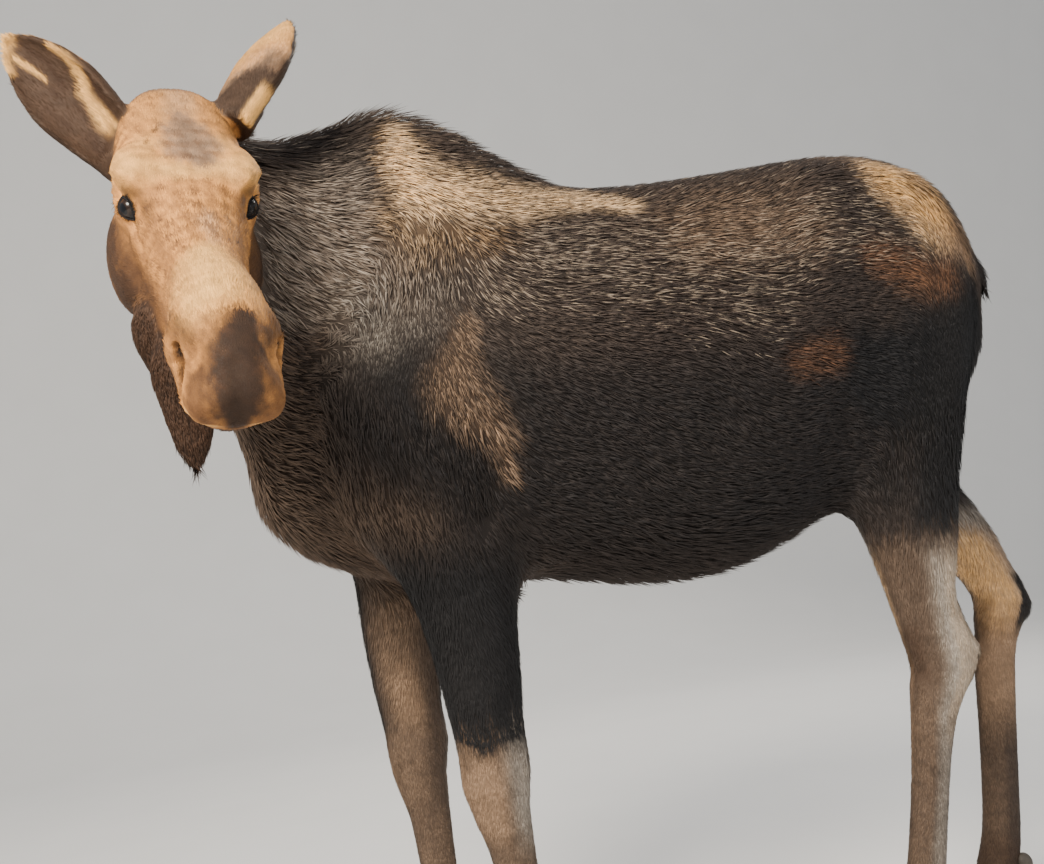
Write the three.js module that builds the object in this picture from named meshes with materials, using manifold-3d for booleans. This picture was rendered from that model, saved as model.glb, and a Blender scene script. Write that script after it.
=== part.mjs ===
// A cow moose, life size, standing on four legs with her head turned to her left.
// She faces -X, her left side is -Y and +Z is up. Everything is in millimetres.
// Each limb is a loft of rounded sections; the lofts are joined into one body, and thin cuts
// then part that body into head, neck, bell, ears, tail and legs. Hooves, dewclaws and eyes are
// pieces of their own, set against the flesh.
import * as THREE from "three";
import { mergeVertices } from "three/addons/utils/BufferGeometryUtils.js";
import Module from "manifold-3d";

const wasm = await Module();
wasm.setup();

// ---- driving dimensions ----
const HUMP_HEIGHT = 1790; // top of the mane over the shoulders
const RUMP_HEIGHT = 1640;
const BACK_DIP_HEIGHT = 1597; // lowest point of the back, behind the hump
const ELBOW_HEIGHT = 920;
const KNEE_HEIGHT = 500; // middle of the carpus
const FETLOCK_HEIGHT = 125;
const CORONET_HEIGHT = 52; // top of the horn of the hoof
const FORE_SPREAD = 175; // from the middle line to a front cannon
const HIND_SPREAD = 150;
const HOOF_LENGTH = 128;
const HOOF_WIDTH = 50; // one claw of the cloven foot
const CLEFT = 5; // between the two claws
const EYE_RADIUS = 22;
const HEAD_PITCH = 43; // degrees that the face points below the horizon
const HEAD_YAW = 6.5; // degrees past a full quarter turn to the left
const HEAD_ROLL = -1.5;
const POLL = new THREE.Vector3(-578, -218, 1699); // crown of the head, between the ears
const GAP = 0.3; // between pieces that touch
const ORIGIN_SHIFT = new THREE.Vector3(-162.5, 173, 0); // puts the origin under the middle of the box

// ---- colours ----
const COAT = new THREE.MeshStandardMaterial({ color: 0x3a2c22, roughness: 0.85, metalness: 0 });
const FACE = new THREE.MeshStandardMaterial({ color: 0xa98a68, roughness: 0.85, metalness: 0 });
const LEG = new THREE.MeshStandardMaterial({ color: 0x6b5a48, roughness: 0.85, metalness: 0 });
const HORN = new THREE.MeshStandardMaterial({ color: 0x1d1815, roughness: 0.5, metalness: 0 });
const EYE = new THREE.MeshStandardMaterial({ color: 0x120b07, roughness: 0.1, metalness: 0 });

const X = new THREE.Vector3(1, 0, 0);
const Y = new THREE.Vector3(0, 1, 0);
const Z = new THREE.Vector3(0, 0, 1);
const FORE = new THREE.Vector3(-1, 0, 0);
const DOWN = new THREE.Vector3(0, 0, -1);

// ---- solids and meshes ----

function solidOf(geometry) {
  const bare = geometry.clone();
  bare.deleteAttribute("normal");
  bare.deleteAttribute("uv");
  const merged = mergeVertices(bare, 1e-4);
  const vertProperties = merged.attributes.position.array;
  const triVerts = new Uint32Array(merged.index.array);
  return new wasm.Manifold(new wasm.Mesh({ numProp: 3, vertProperties, triVerts }));
}

function geometryOf(solid) {
  const mesh = solid.getMesh();
  return new THREE.BufferGeometry()
    .setAttribute("position", new THREE.BufferAttribute(mesh.vertProperties, 3))
    .setIndex(new THREE.BufferAttribute(mesh.triVerts, 1));
}

// One signed power of a sine or cosine: 2 gives an ellipse, less a ridge, more a box.
const bulge = (value, power) => Math.sign(value) * Math.abs(value) ** (2 / power);

// A closed body of rounded sections along a smooth line. A station has its place, how far the
// section reaches up, down and to either side of it, and how square its upper and lower halves are.
// Sections stand square to the line, or to the one direction given as facing.
function loft(stations, { upward = Z, around = 24, steps = 2, facing } = {}) {
  const line = new THREE.CatmullRomCurve3(stations.map((s) => new THREE.Vector3(...s.at)));
  const reach = new THREE.CatmullRomCurve3(
    stations.map((s) => new THREE.Vector3(s.up, s.down, s.side)),
  );
  const square = new THREE.CatmullRomCurve3(
    stations.map((s) => new THREE.Vector3(s.squareUp ?? 2, s.squareDown ?? 2, 0)),
  );
  const rings = (stations.length - 1) * steps;
  const positions = [];
  for (let i = 0; i <= rings; i++) {
    const t = i / rings;
    const centre = line.getPoint(t);
    const along = facing ?? line.getTangent(t);
    const up = upward.clone().addScaledVector(along, -upward.dot(along)).normalize();
    const side = new THREE.Vector3().crossVectors(along, up);
    const size = reach.getPoint(t);
    const power = square.getPoint(t);
    for (let k = 0; k < around; k++) {
      const angle = (2 * Math.PI * k) / around;
      const upper = Math.cos(angle) > 0;
      const n = upper ? power.x : power.y;
      const rise = bulge(Math.cos(angle), n) * (upper ? size.x : size.y);
      const spread = bulge(Math.sin(angle), n) * size.z;
      const p = centre.clone().addScaledVector(up, rise).addScaledVector(side, spread);
      positions.push(p.x, p.y, p.z);
    }
  }
  const first = stations[0].at;
  const last = stations[stations.length - 1].at;
  positions.push(...first, ...last);
  const firstCentre = (rings + 1) * around;
  const triangles = [];
  for (let k = 0; k < around; k++) {
    const next = (k + 1) % around;
    for (let i = 0; i < rings; i++) {
      const a = i * around + k;
      const b = i * around + next;
      triangles.push(a, b, b + around, a, b + around, a + around);
    }
    triangles.push(firstCentre, next, k);
    triangles.push(firstCentre + 1, rings * around + k, rings * around + next);
  }
  return new THREE.BufferGeometry()
    .setAttribute("position", new THREE.Float32BufferAttribute(positions, 3))
    .setIndex(triangles);
}

const ellipsoid = (at, radii, detail = 16) =>
  new THREE.SphereGeometry(1, detail, detail / 2).scale(...radii).translate(...at);

// A flat outline with thickness: points in the XZ plane, reaching from one y to another.
function slab(points, from, to) {
  const shape = new THREE.Shape(points.map(([x, z]) => new THREE.Vector2(x, z)));
  const made = new THREE.ExtrudeGeometry(shape, { depth: to - from, bevelEnabled: false });
  return made.rotateX(Math.PI / 2).translate(0, to, 0);
}

const bothSides = ([x, y, z]) => [1, -1].map((side) => [x, side * y, z]);

const join = (geometries) => geometries.map(solidOf).reduce((sum, part) => sum.add(part));

// ---- trunk ----

// A section across the trunk, from its top and bottom heights and the height where it is widest.
const rib = (x, top, bottom, widest, side, squareUp = 2, squareDown = 2.2) => ({
  at: [x, 0, widest],
  up: top - widest,
  down: widest - bottom,
  side,
  squareUp,
  squareDown,
});

const TRUNK = [
  rib(-530, 1185, 1060, 1115, 45),
  rib(-517, 1270, 1010, 1120, 100),
  rib(-465, 1430, 955, 1140, 165),
  rib(-385, 1600, 900, 1170, 210, 1.8),
  rib(-290, 1762, 868, 1190, 242, 1.6),
  rib(-210, HUMP_HEIGHT, 860, 1190, 258, 1.5),
  rib(-110, 1758, 856, 1180, 270, 1.5),
  rib(0, 1674, 842, 1170, 285, 1.6),
  rib(100, 1614, 822, 1150, 302, 1.7),
  rib(210, BACK_DIP_HEIGHT, 803, 1140, 315, 1.8),
  rib(350, 1606, 805, 1140, 320, 1.9),
  rib(490, 1621, 846, 1170, 306, 1.9),
  rib(620, 1634, 922, 1220, 284, 2),
  rib(760, RUMP_HEIGHT, 1010, 1270, 256, 2),
  rib(880, 1602, 1060, 1290, 206, 2),
  rib(955, 1552, 1110, 1310, 142, 2),
  rib(1002, 1484, 1185, 1320, 88, 2),
  rib(1026, 1408, 1260, 1330, 36, 2),
];

const TAIL = [
  { at: [990, 0, 1440], up: 16, down: 16, side: 22 },
  { at: [1024, 0, 1400], up: 17, down: 17, side: 30 },
  { at: [1042, 0, 1350], up: 14, down: 14, side: 28 },
  { at: [1046, 0, 1312], up: 6, down: 6, side: 12 },
];

const HIP_BONE = { at: [655, 158, 1495], radii: [140, 66, 90] };

// ---- neck and bell ----

const NECK = [
  { at: [-120, 0, 1400], up: 250, down: 330, side: 150, squareUp: 1.7 },
  { at: [-250, -2, 1408], up: 366, down: 345, side: 190, squareUp: 1.5 },
  { at: [-345, -14, 1425], up: 352, down: 335, side: 186, squareUp: 1.6 },
  { at: [-430, -42, 1452], up: 300, down: 300, side: 168, squareUp: 1.8 },
  { at: [-502, -86, 1486], up: 246, down: 240, side: 150, squareUp: 1.9 },
  { at: [-555, -140, 1520], up: 200, down: 198, side: 132 },
  { at: [-580, -205, 1540], up: 158, down: 172, side: 116 },
  { at: [-582, -260, 1545], up: 80, down: 110, side: 70 },
];

const THROAT = { at: [-600, -290, 1312], radii: [76, 118, 100] };

const BELL = [
  { at: [-594, -370, 1300], up: 50, down: 40, side: 34 },
  { at: [-596, -385, 1240], up: 48, down: 42, side: 44 },
  { at: [-597, -395, 1180], up: 36, down: 36, side: 45 },
  { at: [-597, -402, 1125], up: 26, down: 26, side: 33 },
  { at: [-597, -405, 1088], up: 8, down: 8, side: 10 },
];

// ---- head, in a frame of its own: x to the nose, y to her left, z out of the forehead ----

const face = (x, top, bottom, widest, side, squareUp = 2.2, squareDown = 2.2, swing = 0) => ({
  at: [x, swing, widest],
  up: top - widest,
  down: widest - bottom,
  side,
  squareUp,
  squareDown,
});

const SKULL = [
  face(-50, 0, -190, -100, 52),
  face(-10, 34, -240, -90, 86, 2.8),
  face(50, 42, -272, -84, 100, 2.8),
  face(125, 28, -280, -74, 106, 2.8),
  face(198, 8, -268, -66, 111, 2.7),
  face(255, -10, -248, -84, 87, 2.4),
  face(325, -20, -224, -96, 76, 2.1),
  face(400, -22, -196, -96, 66, 2.1),
  face(468, -12, -180, -92, 65, 2.2),
  face(530, -6, -178, -92, 70, 2.4),
  face(585, -20, -188, -112, 69, 2.5, 2.4, 1),
  face(628, -50, -206, -138, 65, 2.5, 2.6, 4),
  face(656, -90, -208, -158, 54, 2.3, 2.6, 7),
  face(671, -130, -192, -166, 30, 2, 2.2, 8),
];

const JAW = [
  face(130, -120, -262, -180, 60),
  face(220, -120, -262, -180, 88, 2.2, 2.8),
  face(310, -120, -246, -176, 82, 2.2, 2.8),
  face(410, -120, -226, -168, 56, 2.2, 2.6),
  face(500, -130, -222, -178, 44),
  face(560, -150, -222, -190, 36),
  face(590, -178, -210, -196, 16),
];

const BROW = { at: [172, 68, -20], radii: [72, 44, 32] };
const CHEEK = { at: [165, 70, -178], radii: [125, 54, 88] };
const EYE_PLACE = [212, 82, -65];
const LIDS = { outward: 24, radii: [27, 19, 17] }; // the opening that they leave over each eye
const NOSTRIL = { at: [568, 70, -88], radii: [26, 16, 15], turn: 35 };

const headFrame = (() => {
  const pitch = THREE.MathUtils.degToRad(HEAD_PITCH);
  const yaw = THREE.MathUtils.degToRad(HEAD_YAW);
  const level = new THREE.Vector3(Math.sin(yaw), -Math.cos(yaw), 0);
  const nose = level.clone().multiplyScalar(Math.cos(pitch)).addScaledVector(Z, -Math.sin(pitch));
  const crown = level.clone().multiplyScalar(Math.sin(pitch)).addScaledVector(Z, Math.cos(pitch));
  const left = new THREE.Vector3().crossVectors(crown, nose);
  const roll = new THREE.Matrix4().makeRotationX(THREE.MathUtils.degToRad(HEAD_ROLL));
  return new THREE.Matrix4().makeBasis(nose, left, crown).multiply(roll).setPosition(POLL);
})();

const inHead = (geometry) => geometry.applyMatrix4(headFrame);

// ---- ears: a leaf of flesh with its hollow scooped out ----

const EARS = {
  left: { root: [-492, -226, 1668], tip: [-369, -185, 1866], opening: [0.75, 0.55, -0.1] },
  right: { root: [-640, -236, 1606], tip: [-822, -250, 1824], opening: [-0.25, -1, -0.25] },
};
// Share of the length, half width and half depth of the leaf.
const EAR_FORM = [
  [0, 50, 36],
  [0.14, 52, 35],
  [0.32, 60, 34],
  [0.52, 66, 32],
  [0.72, 57, 25],
  [0.88, 36, 15],
  [0.97, 14, 8],
  [1, 4, 3],
];
const EAR_WALL = 8;

function ear({ root, tip, opening }) {
  const from = new THREE.Vector3(...root);
  const to = new THREE.Vector3(...tip);
  const open = new THREE.Vector3(...opening).normalize();
  const place = (share, lift) => from.clone().lerp(to, share).addScaledVector(open, lift).toArray();
  const leaf = EAR_FORM.map(([share, wide, deep]) => ({
    at: place(share, 0),
    up: deep,
    down: deep,
    side: wide,
  }));
  const hollow = EAR_FORM.slice(1, -1).map(([share, wide, deep]) => ({
    at: place(share, deep * 0.75),
    up: deep * 1.5,
    down: Math.max(deep * 1.35 - EAR_WALL * 0.6, deep * 0.8),
    side: Math.max(wide - EAR_WALL, wide * 0.45),
  }));
  const outside = solidOf(loft(leaf, { upward: open, around: 12, steps: 1 }));
  return outside.subtract(solidOf(loft(hollow, { upward: open, around: 10, steps: 1 })));
}

// ---- legs ----

// A section across a leg, from how far it reaches forward, backward and to the sides.
const joint = (x, y, z, fore, back, side) => ({ at: [x, y, z], up: fore, down: back, side });

// side is -1 for her left and 1 for her right; the knee and the foot each have a place along X.
function foreleg(side, knee, foot) {
  const y = (share) => side * FORE_SPREAD * share;
  return [
    joint(-130, y(0.5), 1600, 50, 50, 40),
    joint(-165, y(0.8), 1440, 125, 115, 82),
    joint(-225, y(1.02), 1240, 170, 155, 92),
    joint(knee * 0.25 - 195, y(1.08), 1060, 165, 170, 96),
    joint(knee * 0.5 - 108, y(1.08), ELBOW_HEIGHT, 116, 104, 86),
    joint(knee * 0.9 - 32, y(1.07), 800, 87, 86, 70),
    joint(knee - 8, y(1.05), 680, 72, 74, 58),
    joint(knee - 4, y(1.02), 572, 62, 60, 52),
    joint(knee, y(1), KNEE_HEIGHT, 57, 53, 51),
    joint((3 * knee + foot) / 4, y(0.99), 420, 41, 43, 39),
    joint((knee + foot) / 2, y(0.98), 300, 35, 39, 33),
    joint((knee + 5 * foot) / 6, y(0.97), 185, 36, 41, 34),
    joint(foot, y(0.96), FETLOCK_HEIGHT, 42, 49, 41),
    joint(foot - 22, y(0.96), 82, 43, 42, 44),
    joint(foot - 34, y(0.96), 40, 46, 48, 47),
  ];
}

// The hock and the foot have their places; the thigh starts at the hip whatever the leg does.
function hindleg(side, hock, foot) {
  const y = (share) => side * HIND_SPREAD * share;
  const [hx, hz] = hock;
  const swing = hx - 725; // from the leg that stands under the hip
  return [
    joint(800, y(0.7), 1560, 60, 60, 60),
    joint(795, y(0.9), 1450, 150, 125, 80),
    joint(770, y(1.04), 1300, 187, 150, 96),
    joint(738 + swing * 0.06, y(1.06), 1150, 188, 132, 102),
    joint(706 + swing * 0.22, y(1.06), 1010, 154, 126, 97),
    joint(700 + swing * 0.48, y(1.04), hz + 290, 118, 104, 80),
    joint(703 + swing * 0.72, y(1.02), hz + 190, 86, 88, 62),
    joint(712 + swing * 0.9, y(1.01), hz + 95, 72, 72, 50),
    joint(hx, y(1), hz, 68, 70, 48),
    joint(hx * 0.8 + foot * 0.2 - 8, y(1), hz - 85, 48 + swing * 0.03, 47, 41),
    joint((hx + foot) / 2 - 4, y(0.99), (hz + FETLOCK_HEIGHT) / 2, 37 + swing * 0.04, 40, 33),
    joint(hx * 0.18 + foot * 0.82, y(0.98), 205, 37 + swing * 0.03, 41, 34),
    joint(foot, y(0.98), FETLOCK_HEIGHT, 43, 49, 41),
    joint(foot - 22, y(0.98), 82, 43, 42, 44),
    joint(foot - 36, y(0.98), 40, 46, 48, 47),
  ];
}

// foot: where the fetlock stands along X. region: what the leg takes of the body, see legRegion.
const LEGS = {
  foreleg_left: {
    side: -1,
    foot: -128,
    line: foreleg(-1, -163, -128),
    region: { from: -420, to: -75, inner: 88, top: 872, outward: 0.9, backward: 0 },
  },
  foreleg_right: {
    side: 1,
    foot: -228,
    line: foreleg(1, -245, -228),
    region: { from: -440, to: -95, inner: 88, top: 872, outward: 0.9, backward: 0 },
  },
  hindleg_left: {
    side: -1,
    foot: 606,
    line: hindleg(-1, [725, 590], 606),
    region: { from: 555, to: 990, inner: 54, top: 850, outward: 0.7, backward: 0.45 },
  },
  hindleg_right: {
    side: 1,
    foot: 985,
    line: hindleg(1, [1082, 665], 985),
    region: { from: 600, to: 1250, inner: 54, top: 880, outward: 0.7, backward: 0.32 },
  },
};
const footY = (name, side) => side * (name.startsWith("fore") ? FORE_SPREAD * 0.96 : HIND_SPREAD * 0.98);

// ---- feet ----

const HOOF_OFFSET = -36; // from the fetlock to the middle of the hoof
const DEWCLAW = [17, 13, 21];
const DEWCLAW_APART = 22; // from the middle of the foot

// One claw: flat below, higher and upright at the heel, sloping to a point at the toe.
function claw(x, y, inward) {
  const ring = (z, front, back, side) => ({
    at: [x + (back - front) / 2, y + inward * (HOOF_WIDTH / 2 - side), z],
    up: (front + back) / 2,
    down: (front + back) / 2,
    side,
    squareUp: 1.7,
    squareDown: 2.6,
  });
  const rings = [
    ring(CORONET_HEIGHT - GAP, HOOF_LENGTH * 0.36, HOOF_LENGTH * 0.3, HOOF_WIDTH * 0.43),
    ring(CORONET_HEIGHT * 0.6, HOOF_LENGTH * 0.49, HOOF_LENGTH * 0.34, HOOF_WIDTH * 0.47),
    ring(CORONET_HEIGHT * 0.22, HOOF_LENGTH * 0.62, HOOF_LENGTH * 0.35, HOOF_WIDTH * 0.5),
    ring(0, HOOF_LENGTH * 0.66, HOOF_LENGTH * 0.34, HOOF_WIDTH * 0.48),
  ];
  return solidOf(loft(rings, { upward: FORE, around: 12, steps: 1, facing: DOWN }));
}

function dewclaw(x, y, grow = 0) {
  const radii = DEWCLAW.map((r) => r + grow);
  return solidOf(ellipsoid([0, 0, 0], radii, 8).rotateY(-0.5).translate(x + 46, y, 92));
}

// ---- the whole body ----

const EYES = { eye_left: EYE_PLACE, eye_right: bothSides(EYE_PLACE)[1] };
const eyeball = (at, grow = 0) =>
  solidOf(inHead(ellipsoid(at, Array(3).fill(EYE_RADIUS + grow), 12)));
const lidOpening = ([x, y, z]) =>
  solidOf(inHead(ellipsoid([x, y + Math.sign(y) * LIDS.outward, z], LIDS.radii, 8)));

function nostril(at) {
  const pit = ellipsoid([0, 0, 0], NOSTRIL.radii, 8);
  return solidOf(inHead(pit.rotateY(THREE.MathUtils.degToRad(NOSTRIL.turn)).translate(...at)));
}

function wholeBody() {
  const flesh = join([
    loft(TRUNK, { around: 22, steps: 1, facing: X }),
    ...bothSides(HIP_BONE.at).map((at) => ellipsoid(at, HIP_BONE.radii, 10)),
    loft(NECK, { around: 22, steps: 1 }),
    ellipsoid(THROAT.at, THROAT.radii, 10),
    loft(BELL, { upward: Y, around: 12, steps: 1 }),
    inHead(loft(SKULL, { around: 18 })),
    inHead(loft(JAW, { around: 14, steps: 1 })),
    ...bothSides(BROW.at).map((at) => inHead(ellipsoid(at, BROW.radii, 10))),
    ...bothSides(CHEEK.at).map((at) => inHead(ellipsoid(at, CHEEK.radii, 10))),
    ...Object.values(LEGS).map(({ line }) => loft(line, { upward: FORE, around: 12, steps: 1 })),
  ]);
  const nostrils = bothSides(NOSTRIL.at).map(nostril);
  const sockets = Object.values(EYES).map((at) => eyeball(at, GAP).add(lidOpening(at)));
  const pierced = [...nostrils, ...sockets].reduce((solid, hole) => solid.subtract(hole), flesh);
  return Object.values(EARS).reduce((solid, form) => solid.add(ear(form)), pierced);
}

// ---- its parts ----

const moose = new THREE.Group();
function show(name, solid, material) {
  const mesh = new THREE.Mesh(geometryOf(solid), material);
  mesh.name = name;
  moose.add(mesh);
}

const largest = (solid) =>
  solid.decompose().reduce((best, part) => (part.volume() > best.volume() ? part : best));

// The same shape, a little larger about its own middle.
function grown(geometry, by) {
  const box = new THREE.Box3().setFromBufferAttribute(geometry.attributes.position);
  const middle = box.getCenter(new THREE.Vector3());
  const size = box.getSize(new THREE.Vector3());
  const [x, y, z] = size.toArray().map((extent) => 1 + (2 * by) / extent);
  const larger = geometry.clone().translate(...middle.clone().negate().toArray());
  return larger.scale(x, y, z).translate(...middle.toArray());
}

let body = wholeBody();

// Takes what lies in a convex region off the body, and leaves a thin gap behind.
function carve(region) {
  const piece = largest(body.intersect(solidOf(region)));
  body = body.subtract(solidOf(grown(region, 2 * GAP)));
  return piece;
}

// An ear ends just outside the skull.
const EAR_ROOT_LEFT_ON_HEAD = 58;
function earRegion({ root, tip }) {
  const from = new THREE.Vector3(...root);
  const along = new THREE.Vector3(...tip).sub(from).normalize();
  const box = new THREE.BoxGeometry(170, 170, 300).translate(0, 0, 150 + EAR_ROOT_LEFT_ON_HEAD);
  box.applyQuaternion(new THREE.Quaternion().setFromUnitVectors(Z, along));
  return box.translate(...root);
}

const bellRegion = () => new THREE.BoxGeometry(150, 140, 160).translate(-605, -395, 1145);

// The head ends behind the poll, along a line down to the throat.
const headRegion = () => inHead(slab([[-25, 90], [90, -330], [760, -330], [760, 90]], -150, 150));

const neckRegion = () => slab([[-300, 1900], [-470, 1040], [-800, 1040], [-800, 1900]], -600, 400);

// A leg's region: upright walls, the inner one off the middle line, with a top that slopes up
// outward and backward.
function legRegion(side, { from, to, inner, top, outward, backward }) {
  const box = new THREE.BoxGeometry(to - from, 300, 1000);
  const lean = new THREE.Matrix4().makeShear(0, backward, 0, side * outward, 0, 0);
  box.translate((to - from) / 2, side * (inner + 150), -500).applyMatrix4(lean);
  return box.translate(from, 0, top);
}

// A leg stands on two claws, and has two dewclaws behind the fetlock.
function addLeg(name, { side, foot, line, region }) {
  const y = footY(name, side);
  const ground = new THREE.BoxGeometry(400, 400, 200).translate(foot, y, CORONET_HEIGHT - 100);
  let leg = carve(legRegion(side, region)).subtract(solidOf(ground));
  for (const [which, out] of [["inner", -side], ["outer", side]]) {
    const dewY = y + out * DEWCLAW_APART;
    leg = leg.subtract(dewclaw(foot, dewY, GAP));
    show(name.replace("leg", "dewclaw") + "_" + which, dewclaw(foot, dewY), HORN);
    const clawY = y + (out * (HOOF_WIDTH + CLEFT)) / 2;
    show(name.replace("leg", "hoof") + "_" + which, claw(foot + HOOF_OFFSET, clawY, -out), HORN);
  }
  show(name, largest(leg), LEG);
}

for (const [side, form] of Object.entries(EARS)) show("ear_" + side, carve(earRegion(form)), FACE);
show("bell", carve(bellRegion()), COAT);
show("head", carve(headRegion()), FACE);
show("neck", carve(neckRegion()), COAT);
for (const [name, leg] of Object.entries(LEGS)) addLeg(name, leg);
for (const [name, at] of Object.entries(EYES)) show(name, eyeball(at), EYE);

const tail = loft(TAIL, { upward: X, around: 10 });
const trunk = largest(body.subtract(solidOf(grown(tail, 2 * GAP))));
show("trunk", trunk, COAT);
show("tail", largest(solidOf(tail).subtract(body)), COAT);

moose.position.copy(ORIGIN_SHIFT);

export default moose;
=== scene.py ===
"""A life-size cow moose in her winter coat, dressed over her solid parts."""

import math

import bmesh
import bpy
import numpy as np
from bpy.props import FloatProperty, FloatVectorProperty, PointerProperty
from mathutils import Matrix, Vector
from mathutils.kdtree import KDTree


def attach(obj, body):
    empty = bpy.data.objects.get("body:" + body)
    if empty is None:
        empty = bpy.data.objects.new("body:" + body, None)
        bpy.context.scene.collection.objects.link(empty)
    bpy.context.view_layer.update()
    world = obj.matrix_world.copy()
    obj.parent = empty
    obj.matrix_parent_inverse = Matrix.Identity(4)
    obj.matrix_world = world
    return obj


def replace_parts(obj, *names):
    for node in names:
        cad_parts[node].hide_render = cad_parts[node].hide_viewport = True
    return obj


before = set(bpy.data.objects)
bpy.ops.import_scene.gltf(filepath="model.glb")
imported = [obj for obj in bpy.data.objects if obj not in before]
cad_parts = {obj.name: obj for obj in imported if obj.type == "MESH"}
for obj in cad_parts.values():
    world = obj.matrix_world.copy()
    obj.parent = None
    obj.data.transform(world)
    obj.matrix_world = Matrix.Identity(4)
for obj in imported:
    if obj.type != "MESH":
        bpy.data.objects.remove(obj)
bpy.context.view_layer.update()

bl_info = {
    "name": "Moose",
    "version": (1, 0, 0),
    "blender": (4, 5, 0),
    "location": "View3D > Sidebar > Moose",
    "description": "Builds a standing cow moose with skin, coat, eyes and hooves",
    "category": "Object",
}

MM = 0.001
SEED = 7
# From the drawing's origin to the middle of the animal's box, in millimetres.
ORIGIN_SHIFT = np.array([-162.5, 173.0, 0.0])

# ---- her forms, in millimetres: she faces -X, her left is -Y ----

# Ribs: x, top, bottom, height where widest, half width, squareness above and below.
TRUNK = [
    (-530, 1185, 1060, 1115, 45, 2, 2.2), (-517, 1270, 1010, 1120, 100, 2, 2.2),
    (-465, 1430, 955, 1140, 165, 2, 2.2), (-385, 1600, 900, 1170, 210, 1.8, 2.2),
    (-290, 1762, 868, 1190, 242, 1.6, 2.2), (-210, 1790, 860, 1190, 258, 1.5, 2.2),
    (-110, 1758, 856, 1180, 270, 1.5, 2.2), (0, 1674, 842, 1170, 285, 1.6, 2.2),
    (100, 1614, 822, 1150, 302, 1.7, 2.2), (210, 1597, 803, 1140, 315, 1.8, 2.2),
    (350, 1606, 805, 1140, 320, 1.9, 2.2), (490, 1621, 846, 1170, 306, 1.9, 2.2),
    (620, 1634, 922, 1220, 284, 2, 2.2), (760, 1640, 1010, 1270, 256, 2, 2.2),
    (880, 1602, 1060, 1290, 206, 2, 2.2), (955, 1552, 1110, 1310, 142, 2, 2.2),
    (1002, 1484, 1185, 1320, 88, 2, 2.2), (1026, 1408, 1260, 1330, 36, 2, 2.2),
]

# Other forms: place, reach up, down and to the sides, squareness above and below.
NECK = [
    ((-120, 0, 1400), (250, 330, 150), (1.7, 2)), ((-250, -2, 1408), (366, 345, 190), (1.5, 2)),
    ((-345, -14, 1425), (352, 335, 186), (1.6, 2)), ((-430, -42, 1452), (300, 300, 168), (1.8, 2)),
    ((-502, -86, 1486), (246, 240, 150), (1.9, 2)), ((-555, -140, 1520), (200, 198, 132), (2, 2)),
    ((-580, -205, 1540), (158, 172, 116), (2, 2)), ((-582, -260, 1545), (80, 110, 70), (2, 2)),
]
BELL = [
    ((-594, -370, 1300), (50, 40, 34), (2, 2)), ((-596, -385, 1240), (48, 42, 44), (2, 2)),
    ((-597, -395, 1180), (36, 36, 45), (2, 2)), ((-597, -402, 1125), (26, 26, 33), (2, 2)),
    ((-597, -405, 1088), (8, 8, 10), (2, 2)),
]
TAIL = [
    ((990, 0, 1440), (16, 16, 22), (2, 2)), ((1024, 0, 1400), (17, 17, 30), (2, 2)),
    ((1042, 0, 1350), (14, 14, 28), (2, 2)), ((1046, 0, 1312), (6, 6, 12), (2, 2)),
]
THROAT = ((-600, -290, 1312), (76, 118, 100))
HIP_BONE = ((655, 158, 1495), (140, 66, 90))

# Her head lies in a frame of its own: x to the nose, y to her left, z out of the forehead.
POLL = (-578, -218, 1699)
HEAD_PITCH, HEAD_YAW, HEAD_ROLL = 43, 6.5, -1.5
# Sections: x, top, bottom, height where widest, half width, squareness above and below, swing.
SKULL = [
    (-50, 0, -190, -100, 52, 2.2, 2.2, 0), (-10, 34, -240, -90, 86, 2.8, 2.2, 0),
    (50, 42, -272, -84, 100, 2.8, 2.2, 0), (125, 28, -280, -74, 106, 2.8, 2.2, 0),
    (198, 8, -268, -66, 111, 2.7, 2.2, 0), (255, -10, -248, -84, 87, 2.4, 2.2, 0),
    (325, -20, -224, -96, 76, 2.1, 2.2, 0), (400, -22, -196, -96, 66, 2.1, 2.2, 0),
    (468, -12, -180, -92, 65, 2.2, 2.2, 0), (530, -6, -178, -92, 70, 2.4, 2.2, 0),
    (585, -20, -188, -112, 69, 2.5, 2.4, 1), (628, -50, -206, -138, 65, 2.5, 2.6, 4),
    (656, -90, -208, -158, 54, 2.3, 2.6, 7), (671, -130, -192, -166, 30, 2, 2.2, 8),
]
JAW = [
    (130, -120, -262, -180, 60, 2.2, 2.2, 0), (220, -120, -262, -180, 88, 2.2, 2.8, 0),
    (310, -120, -246, -176, 82, 2.2, 2.8, 0), (410, -120, -226, -168, 56, 2.2, 2.6, 0),
    (500, -130, -222, -178, 44, 2.2, 2.2, 0), (560, -150, -222, -190, 36, 2.2, 2.2, 0),
    (590, -178, -210, -196, 16, 2.2, 2.2, 0),
]
BROW = ((172, 68, -20), (72, 44, 32))
CHEEK = ((165, 70, -178), (125, 54, 88))
EYE_PLACE = (212, 82, -65)
EYE_RADIUS = 22

# Ears: root, tip and the way the hollow opens.
EARS = {
    "left": ((-492, -226, 1668), (-369, -185, 1866), (0.75, 0.55, -0.1)),
    "right": ((-640, -236, 1606), (-822, -250, 1824), (-0.25, -1, -0.25)),
}
# Share of the length, half width and half depth of the leaf.
EAR_FORM = [
    (0, 50, 36), (0.14, 52, 35), (0.32, 60, 34), (0.52, 66, 32), (0.72, 57, 25), (0.88, 36, 15),
    (0.97, 14, 8), (1, 4, 3),
]
EAR_WALL = 9

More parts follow.
